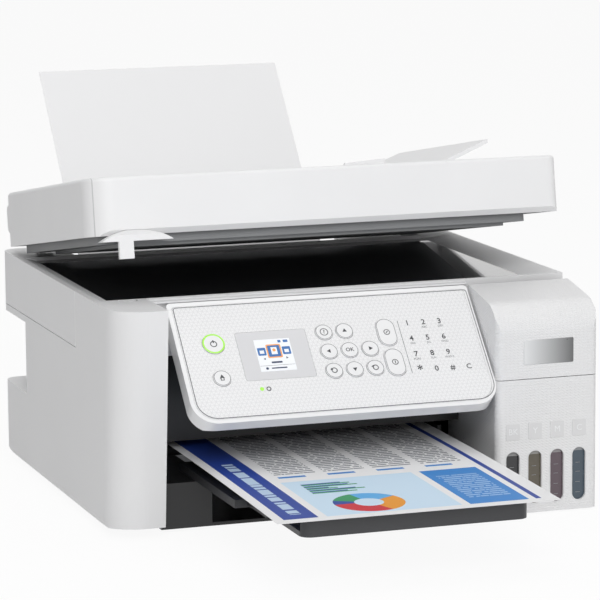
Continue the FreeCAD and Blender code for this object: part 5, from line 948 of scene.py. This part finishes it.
    def disc(self, name: str, body: str, finish: Finish, radius: float, matrix: Matrix, sides: int,
             thick: float) -> None:
        """Make a thin disc, or a triangle with three sides.

        Args:
            name: the piece's name.
            body: the body that it rides on.
            finish: its finish.
            radius: its radius.
            matrix: its place.
            sides: how many sides.
            thick: its thickness.
        """
        shape = ("disc", radius, sides, thick)
        if not self._copy(shape):
            bpy.ops.mesh.primitive_cylinder_add(vertices=sides, radius=radius * MM, depth=thick * MM)
            self.modify("BEVEL", width=thick * MM * self.soft_share, segments=1)
            self._keep(shape)
        self._end(name, body, finish, matrix)

    def text(self, name: str, body: str, finish: Finish, words: str, height: float, matrix: Matrix,
             bold: float = 0.0) -> None:
        """Make thin plain lettering.

        Args:
            name: the piece's name.
            body: the body that it rides on.
            finish: its finish.
            words: the characters.
            height: letter size.
            matrix: place of their middle.
            bold: how much heavier they are drawn, as a share of their size.
        """
        bpy.ops.object.select_all(action="DESELECT")
        bpy.ops.object.text_add()
        letters = bpy.context.active_object.data
        letters.body = words
        letters.size = height * MM
        letters.align_x = "CENTER"
        letters.align_y = "CENTER"
        letters.extrude = self.letter_thick * MM
        letters.offset = height * MM * bold
        letters.resolution_u = 3
        bpy.ops.object.convert(target="MESH")
        self._end(name, body, finish, matrix)


@dataclass(frozen=True)
class Mark:
    """A flat printed form, in millimetres from the middle of a key or of the display's picture.

    Attributes:
        form: its form.
        size: a ring's radius and line, a disc's or triangle's radius, or a plate's width and height.
        name: its name, or what it adds to its key's name.
        across: its place to the right.
        down: its place below.
        lift: its height above what it is printed on.
        turn: degrees that it is turned.
        corner: corner radius of a plate.
        finish: its finish.
    """

    form: Form
    size: Tuple[float, ...]
    name: str = "_mark"
    across: float = 0.0
    down: float = 0.0
    lift: float = 0.0
    turn: float = 0.0
    corner: float = 0.0
    finish: Finish = PRINT_GREY


@dataclass(frozen=True)
class KeyMark:
    """What is printed on one key."""

    key: str
    symbol: Symbol
    words: str = ""
    turn: float = 0.0
    shape: KeyShape = KeyShape.ROUND


SYMBOLS: Dict[Symbol, Tuple[Mark, ...]] = {
    Symbol.POWER: (
        Mark(Form.RING, (2.3, 0.7), down=0.3),
        Mark(Form.PLATE, (0.8, 2.6), "_mark_bar", down=-1.8, lift=0.12),
    ),
    Symbol.HOUSE: (
        Mark(Form.PLATE, (2.8, 2.2), down=1.1),
        Mark(Form.TRIANGLE, (2.3,), "_mark_roof", down=-0.8),
        Mark(Form.PLATE, (1.5, 1.6), "_mark_door", down=0.9, lift=0.06, finish=KEY),
    ),
    Symbol.ARROW: (Mark(Form.TRIANGLE, (2.0,)),),
    Symbol.LOOP: (
        Mark(Form.RING, (2.0, 0.7)),
        Mark(Form.TRIANGLE, (1.3,), "_mark_tip", -2.0, -1.0, 0.05),
    ),
    Symbol.BARRED: (
        Mark(Form.RING, (2.2, 0.6)),
        Mark(Form.PLATE, (2.6, 0.6), "_mark_bar", lift=0.1, turn=45.0),
    ),
    Symbol.WORD: (),
    Symbol.CIRCLED: (Mark(Form.RING, (2.9, 0.6), "_mark_round"),),
}
KEY_MARKS = (
    KeyMark("power_button", Symbol.POWER, shape=KeyShape.POWER),
    KeyMark("home_button", Symbol.HOUSE),
    KeyMark("help_button", Symbol.CIRCLED, "?"),
    KeyMark("up_button", Symbol.ARROW),
    KeyMark("left_button", Symbol.ARROW, turn=90.0),
    KeyMark("ok_button", Symbol.WORD, "OK"),
    KeyMark("right_button", Symbol.ARROW, turn=-90.0),
    KeyMark("back_button", Symbol.LOOP),
    KeyMark("down_button", Symbol.ARROW, turn=180.0),
    KeyMark("mode_button", Symbol.LOOP, turn=90.0),
    KeyMark("stop_button", Symbol.BARRED, shape=KeyShape.LONG),
    KeyMark("start_button", Symbol.BARRED, turn=45.0, shape=KeyShape.LONG),
)
KEYPAD = (
    ("1", ""), ("2", "ABC"), ("3", "DEF"), ("4", "GHI"), ("5", "JKL"), ("6", "MNO"),
    ("7", "PQRS"), ("8", "TUV"), ("9", "WXYZ"), ("*", ""), ("0", ""), ("#", ""),
)
DISPLAY = (
    Mark(Form.PLATE, (27.8, 28.0), "display", lift=0.05, finish=LCD_WHITE),
    Mark(Form.PLATE, (2.4, 2.2), "display_net", 5.6, -11.6, 0.12, corner=0.3, finish=LCD),
    Mark(Form.PLATE, (3.6, 2.2), "display_cell", 10.4, -11.6, 0.12, corner=0.3, finish=LCD),
    Mark(Form.PLATE, (6.4, 6.8), "display_left", -9.6, -3.4, 0.12, corner=0.8, finish=LCD),
    Mark(Form.PLATE, (3.4, 2.8), "display_left_page", -9.6, -3.0, 0.18, finish=LCD_WHITE),
    Mark(Form.PLATE, (6.4, 6.8), "display_right", 9.6, -3.4, 0.12, corner=0.8, finish=LCD),
    Mark(Form.PLATE, (3.4, 2.8), "display_right_page", 9.6, -3.0, 0.18, finish=LCD_WHITE),
    Mark(Form.PLATE, (11.4, 11.8), "display_choice", 0.0, -3.4, 0.12, corner=1.0, finish=LCD_ORANGE),
    Mark(Form.PLATE, (9.4, 9.8), "display_tile", 0.0, -3.4, 0.18, corner=0.6, finish=LCD),
    Mark(Form.PLATE, (4.6, 6.2), "display_page", 0.0, -3.6, 0.24, finish=LCD_WHITE),
    Mark(Form.PLATE, (8.4, 1.5), "display_word", 0.0, 6.4, 0.12, corner=0.4, finish=LCD_DARK),
    Mark(Form.PLATE, (27.0, 0.3), "display_rule", 0.0, 9.0, 0.12, finish=PRINT_FAINT),
    Mark(Form.PLATE, (12.0, 1.1), "display_foot", 0.8, 11.4, 0.12, corner=0.3, finish=LCD_DARK),
    Mark(Form.DISC, (1.3,), "display_dot", 0.0, -4.2, 0.3, finish=LCD_ORANGE),
    Mark(Form.DISC, (1.1,), "display_key", -8.6, 11.4, 0.12, finish=LCD_DARK),
    Mark(Form.TRIANGLE, (1.1,), "display_arrow_0", -8.6, 3.0, 0.12, 90.0, finish=LCD_DARK),
    Mark(Form.TRIANGLE, (1.1,), "display_arrow_2", 8.6, 3.0, 0.12, -90.0, finish=LCD_DARK),
    Mark(Form.DISC, (1.6,), "status_light", -16.8, 28.6, 0.06, finish=LED_GREEN),
    Mark(Form.RING, (1.5, 0.8), "status_mark", -11.6, 28.8, 0.06),
)


@dataclass
class PanelPrint:
    """Marks on the control panel, in millimetres. Keys and screen are found in the frame."""

    shop: Workshop
    top_y: float = -114.9
    top_z: float = 168.7
    tilt: float = PANEL_LEAN
    thick: float = 0.1
    disc_sides: int = 24
    key_lift: float = 0.86
    print_lift: float = 0.06
    key_line: float = 0.4
    power_line: float = 1.3
    long_apart: float = 4.6
    bold: float = 0.014
    word_height: float = 4.4
    pad_u: float = 47.6
    pad_v: float = 30.8
    pad_step_u: float = 12.85
    pad_step_v: float = 13.9
    pad_columns: int = 3
    digit_height: float = 6.4
    star_height: float = 9.5
    small_height: float = 2.4
    small_drop: float = 4.3
    clear_place: Tuple[float, float] = (86.2, 72.6)
    clear_height: float = 6.0
    divider_place: Tuple[float, float] = (40.3, 51.5)
    divider_size: Tuple[float, float, float] = (0.4, 47.0, 0.06)
    edge_low: Tuple[float, float] = (0.65, 0.4)
    edge_high: Tuple[float, float] = (2.35, -0.4)
    edge_thick: float = 0.16
    edge_line: float = 0.6
    edge_corner: float = 15.2
    edge_top_corner: float = 2.4
    picture_shift: Tuple[float, float] = (-0.4, 0.2)

    def down(self) -> Vector:
        """Return the direction down the face."""
        lean = math.radians(self.tilt)
        return Vector((0.0, -math.sin(lean), -math.cos(lean)))

    def at(self, u: float, v: float, lift: float = 0.0, turn: float = 0.0) -> Matrix:
        """Return the place of a mark.

        Args:
            u: distance across, from the middle of the body.
            v: distance down the face.
            lift: distance out of the face.
            turn: degrees about the face's normal.

        Returns:
            A matrix whose Z points out of the face.
        """
        across, up = Vector((1.0, 0.0, 0.0)), -self.down()
        out = across.cross(up)
        spot = Vector((u, self.top_y, self.top_z)) - up * v + out * lift
        basis = Matrix((across, up, out)).transposed().to_4x4()
        return Matrix.Translation(spot * MM) @ basis @ Matrix.Rotation(math.radians(turn), 4, "Z")

    def reach(self, node: str) -> Tuple[Vector, Vector]:
        """Return how far a node reaches on the face.

        Args:
            node: the CAD node.

        Returns:
            Its lowest and its highest place, each across and down.
        """
        top = Vector((0.0, self.top_y, self.top_z))
        spots = [vertex.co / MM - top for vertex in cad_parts[node].data.vertices]
        across = [spot.x for spot in spots]
        below = [spot.dot(self.down()) for spot in spots]
        return Vector((min(across), min(below))), Vector((max(across), max(below)))

    def middle(self, node: str) -> Vector:
        """Return the place of a node's middle, across and down the face."""
        low, high = self.reach(node)
        return (low + high) / 2

    def keys(self) -> None:
        """Draw the line round every key and the symbol on it."""
        for mark in KEY_MARKS:
            middle = self.middle(mark.key)
            lit = mark.shape is KeyShape.POWER
            finish = LED_GREEN if lit else PRINT_LINE
            line = self.power_line if lit else self.key_line
            apart = self.long_apart if mark.shape is KeyShape.LONG else 0.0
            spot = self.at(*middle, self.key_lift)
            self.shop.ring(mark.key + "_ring", mark.key, finish, mark.shape.value, line, spot, apart)
            if mark.words:
                self.figure(mark.key + "_mark", mark.key, mark.words, self.word_height, spot)
            for part in SYMBOLS[mark.symbol]:
                self.draw(part, middle, mark.key, mark.turn)

    def figure(self, name: str, body: str, words: str, height: float, spot: Matrix) -> None:
        """Print bold dark characters."""
        self.shop.text(name, body, PRINT_GREY, words, height, spot, self.bold)

    def draw(self, mark: Mark, middle: Vector, key: str = "", turn: float = 0.0) -> None:
        """Draw one flat form, on a key or else on the panel.

        Args:
            mark: the form.
            middle: what its place is measured from, across and down the face.
            key: the key.
            turn: degrees that the whole symbol is turned.
        """
        name, body = key + mark.name, key or "panel"
        lift = mark.lift + (self.key_lift if key else 0.0)
        spot = self.at(middle.x + mark.across, middle.y + mark.down, lift, turn + mark.turn)
        if mark.form is Form.RING:
            self.shop.ring(name, body, mark.finish, *mark.size, spot)
        elif mark.form is Form.PLATE:
            self.shop.plate(name, body, mark.finish, (*mark.size, self.thick), spot, mark.corner, segments=3)
        else:
            sides = 3 if mark.form is Form.TRIANGLE else self.disc_sides
            self.shop.disc(name, body, mark.finish, *mark.size, spot, sides, self.thick)

    def keypad(self) -> None:
        """Print the number field and the divider beside it."""
        lift = self.print_lift
        for place, (digit, letters) in enumerate(KEYPAD):
            row, column = divmod(place, self.pad_columns)
            u = self.pad_u + column * self.pad_step_u
            v = self.pad_v + row * self.pad_step_v
            tag = str(row) + str(column)
            height = self.star_height if digit == "*" else self.digit_height
            self.figure("digit_" + tag, "panel", digit, height, self.at(u, v, lift))
            if letters:
                spot = self.at(u, v + self.small_drop, lift)
                self.shop.text("small_" + tag, "panel", PRINT_FAINT, letters, self.small_height, spot)
        self.figure("clear_key", "panel", "C", self.clear_height, self.at(*self.clear_place, lift))
        self.shop.plate("divider", "panel", PRINT_LINE, self.divider_size, self.at(*self.divider_place, lift))

    def frame_line(self) -> None:
        """Draw the thin dark line round the face, which runs out on the rim at the right."""
        low, high = self.reach("panel_face")
        low, high = low + Vector(self.edge_low), high + Vector(self.edge_high)
        size = (*(high - low), self.edge_thick)
        spot = self.at(*(low + high) / 2)
        line = self.shop.plate(
            "face_line", "panel", PRINT_LINE, size, spot, self.edge_corner,
            segments=10, top_corner=self.edge_top_corner,
        )
        self.shop.activate(line)
        self.shop.pick(Part.FACE, lambda face: len(face.vertices) > 4)
        bpy.ops.mesh.delete(type="FACE")
        bpy.ops.object.mode_set(mode="OBJECT")
        self.shop.modify("SOLIDIFY", thickness=self.edge_line * MM)

    def display(self) -> None:
        """Draw the display's picture: a made-up menu of plain shapes."""
        middle = self.middle("panel_screen") + Vector(self.picture_shift)
        for mark in DISPLAY:
            self.draw(mark, middle)

    def build(self) -> None:
        """Make all the marks on the panel."""
        self.keys()
        self.keypad()
        self.frame_line()
        self.display()


@dataclass
class TankFront:
    """Marks and windows on the ink tank housing, in millimetres."""

    shop: Workshop
    front: float = -173.5
    first: float = 118.2
    pitch: float = 18.0
    window: Tuple[float, float, float] = (11.0, 41.0, 0.2)
    window_z: float = 28.9
    window_corner: float = 5.4
    window_depth: float = 2.3
    border: Tuple[float, float] = (5.9, 1.0)
    border_gap: float = 0.25
    border_out: float = 0.05
    ticks: Tuple[float, ...] = (14.0, 22.0, 30.0, 37.0)
    tick: Tuple[float, float, float] = (3.6, 0.4, 0.1)
    tick_depth: float = 2.1
    pad: Tuple[float, float, float] = (11.3, 12.6, 0.5)
    pad_z: float = 64.5
    pad_out: float = 0.15
    letter_height: float = 6.6
    letter_out: float = 0.5
    badge: Tuple[float, float, float] = (40.3, 18.8, 0.6)
    badge_place: Tuple[float, float] = (146.9, 124.7)
    badge_out: float = 0.2
    corner: float = 1.0

    def at(self, x: float, z: float, out: float) -> Matrix:
        """Return a place on the front with Z pointing out of it."""
        turn = Matrix.Rotation(math.radians(90.0), 4, "X")
        return Matrix.Translation(Vector((x, self.front - out, z)) * MM) @ turn

    def column(self, ink: str, letters: str, x: float) -> None:
        """Make one tank's ink face, rim, level marks, label pad and letters.

        Args:
            ink: the ink's name.
            letters: its letters.
            x: X of its window.
        """
        shade = Finish("ink " + ink, INKS[ink], 0.25, coat=0.4, surface=Surface.INK, slot="tank_clear")
        spot = self.at(x, self.window_z, -self.window_depth)
        self.shop.plate("ink_" + ink, "body", shade, self.window, spot, self.window_corner, segments=8)
        apart = self.window[1] / 2 + self.border_gap - self.border[0]
        spot = self.at(x, self.window_z, self.border_out)
        self.shop.ring("border_" + ink, "body", BORDER, *self.border, spot, apart)
        for i, z in enumerate(self.ticks):
            spot = self.at(x, z, -self.tick_depth)
            self.shop.plate("level_" + ink + str(i), "body", PRINT_FAINT, self.tick, spot)
        spot = self.at(x, self.pad_z, self.pad_out)
        self.shop.plate("pad_" + ink, "body", PAD, self.pad, spot, self.corner, segments=3)
        spot = self.at(x, self.pad_z, self.letter_out)
        self.shop.text("letter_" + ink, "body", LETTER, letters, self.letter_height, spot)

    def build(self) -> None:
        """Make the four columns and the bare badge plate."""
        for i, (ink, letters) in enumerate(zip(INKS, ("BK", "Y", "M", "C"))):
            self.column(ink, letters, self.first + i * self.pitch)
        spot = self.at(*self.badge_place, self.badge_out)
        self.shop.plate("badge", "tank_cover", SILVER, self.badge, spot, self.corner, segments=3)


@dataclass(frozen=True)
class Lamp:
    """A soft square light."""

    name: str
    power: float
    size: float
    place: Tuple[float, float, float]


@dataclass
class Studio:
    """Floor, background, lights and camera.

    Attributes:
        eye: camera place in metres.
        yaw: degrees to the right of straight ahead.
        pitch: degrees below level.
        roll: degrees about the view.
        lens: focal length in millimetres.
        sensor: width of the camera's sensor in millimetres.
        far: how far the camera sees, in metres.
        ambient: colour of the light from all sides.
        clean: how far the floor is white to the eye, the rest being shadow.
        floor_size: side of the floor in metres.
        target: what the lights point at.
        lamps: the lights.
    """

    eye: Tuple[float, float, float] = (-0.8208, -2.4154, 0.5710)
    yaw: float = 18.97
    pitch: float = 9.47
    roll: float = -0.42
    lens: float = 197.8
    sensor: float = 36.0
    far: float = 50.0
    ambient: Color = (0.225, 0.225, 0.227)
    clean: float = 0.93
    floor_size: float = 14.0
    target: Tuple[float, float, float] = (0.0, 0.0, 0.12)
    lamps: Tuple[Lamp, ...] = (
        Lamp("key", 34.0, 1.4, (-0.7, -2.1, 1.6)),
        Lamp("front", 5.0, 1.0, (0.3, -2.7, 0.55)),
        Lamp("top", 14.0, 1.8, (0.0, 0.2, 2.2)),
        Lamp("right", 6.0, 1.6, (2.0, -1.2, 1.2)),
    )

    def floor(self) -> None:
        """Lay a white floor that the camera sees as nearly plain white."""
        bpy.ops.object.select_all(action="DESELECT")
        bpy.ops.mesh.primitive_plane_add(size=self.floor_size)
        floor = bpy.context.active_object
        floor.name = "floor"
        paint = Paint(FLOOR)
        white = paint.add("ShaderNodeEmission")
        blend = {
            0: paint.seen() * self.clean,
            1: Value(paint, paint.shader.outputs[0]),
            2: Value(paint, white.outputs[0]),
        }
        both = paint.add("ShaderNodeMixShader", blend)
        paint.feed(paint.output.inputs["Surface"], Value(paint, both.outputs[0]))
        floor.data.materials.append(paint.material)

    def sky(self) -> None:
        """Make the surroundings white to the eye and softer as a light."""
        world = bpy.data.worlds.new("white studio")
        bpy.context.scene.world = world
        world.use_nodes = True
        graph = Graph(world.node_tree)
        back = graph.tree.nodes["Background"]
        graph.feed(back.inputs["Strength"], 1.0)
        graph.feed(back.inputs["Color"], graph.mix(graph.seen(), self.ambient, (1.0, 1.0, 1.0)))

    def light(self, lamp: Lamp) -> None:
        """Add one light.

        Args:
            lamp: the light.
        """
        bpy.ops.object.light_add(type="AREA", location=lamp.place)
        light = bpy.context.active_object
        light.name = lamp.name
        light.data.energy = lamp.power
        light.data.size = lamp.size
        aim = Vector(self.target) - Vector(lamp.place)
        light.rotation_euler = aim.to_track_quat("-Z", "Y").to_euler()

    def camera(self) -> None:
        """Stand the camera where the photo was taken from."""
        yaw, pitch, roll = (math.radians(angle) for angle in (self.yaw, self.pitch, self.roll))
        ahead = Vector((math.sin(yaw) * math.cos(pitch), math.cos(yaw) * math.cos(pitch), -math.sin(pitch)))
        level = Vector((math.cos(yaw), -math.sin(yaw), 0.0))
        upright = level.cross(ahead)
        right = level * math.cos(roll) + upright * math.sin(roll)
        up = upright * math.cos(roll) - level * math.sin(roll)
        bpy.ops.object.camera_add()
        camera = bpy.context.active_object
        basis = Matrix((right, up, -ahead)).transposed().to_4x4()
        camera.matrix_world = Matrix.Translation(Vector(self.eye)) @ basis
        camera.data.lens = self.lens
        camera.data.sensor_width = self.sensor
        camera.data.clip_end = self.far
        bpy.context.scene.camera = camera

    def build(self) -> None:
        """Make the whole studio."""
        self.floor()
        self.sky()
        for lamp in self.lamps:
            self.light(lamp)
        self.camera()
        bpy.context.scene.view_settings.view_transform = "Standard"


@dataclass
class Printer:
    """The whole printer's looks."""

    shop: Workshop = field(default_factory=Workshop)
    cap_roughness: float = 0.6

    def dress_nodes(self) -> None:
        """Give every CAD node its finish."""
        for name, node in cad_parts.items():
            finish = NODE_FINISHES.get(name, KEY)
            if name in CAPS:
                finish = Finish(name.replace("_", " "), CAPS[name], self.cap_roughness)
            self.shop.finisher.dress(node, finish)
            log.info("node %s: %s", name, finish.name)

    def build(self) -> None:
        """Dress the CAD nodes and add the pieces that the CAD leaves out."""
        self.dress_nodes()
        PanelPrint(self.shop).build()
        TankFront(self.shop).build()
        log.info("pieces made: %d", self.shop.count)


def main() -> None:
    """Build the scene."""
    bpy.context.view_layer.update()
    Printer().build()
    Studio().build()


if __name__ == "__main__":
    main()
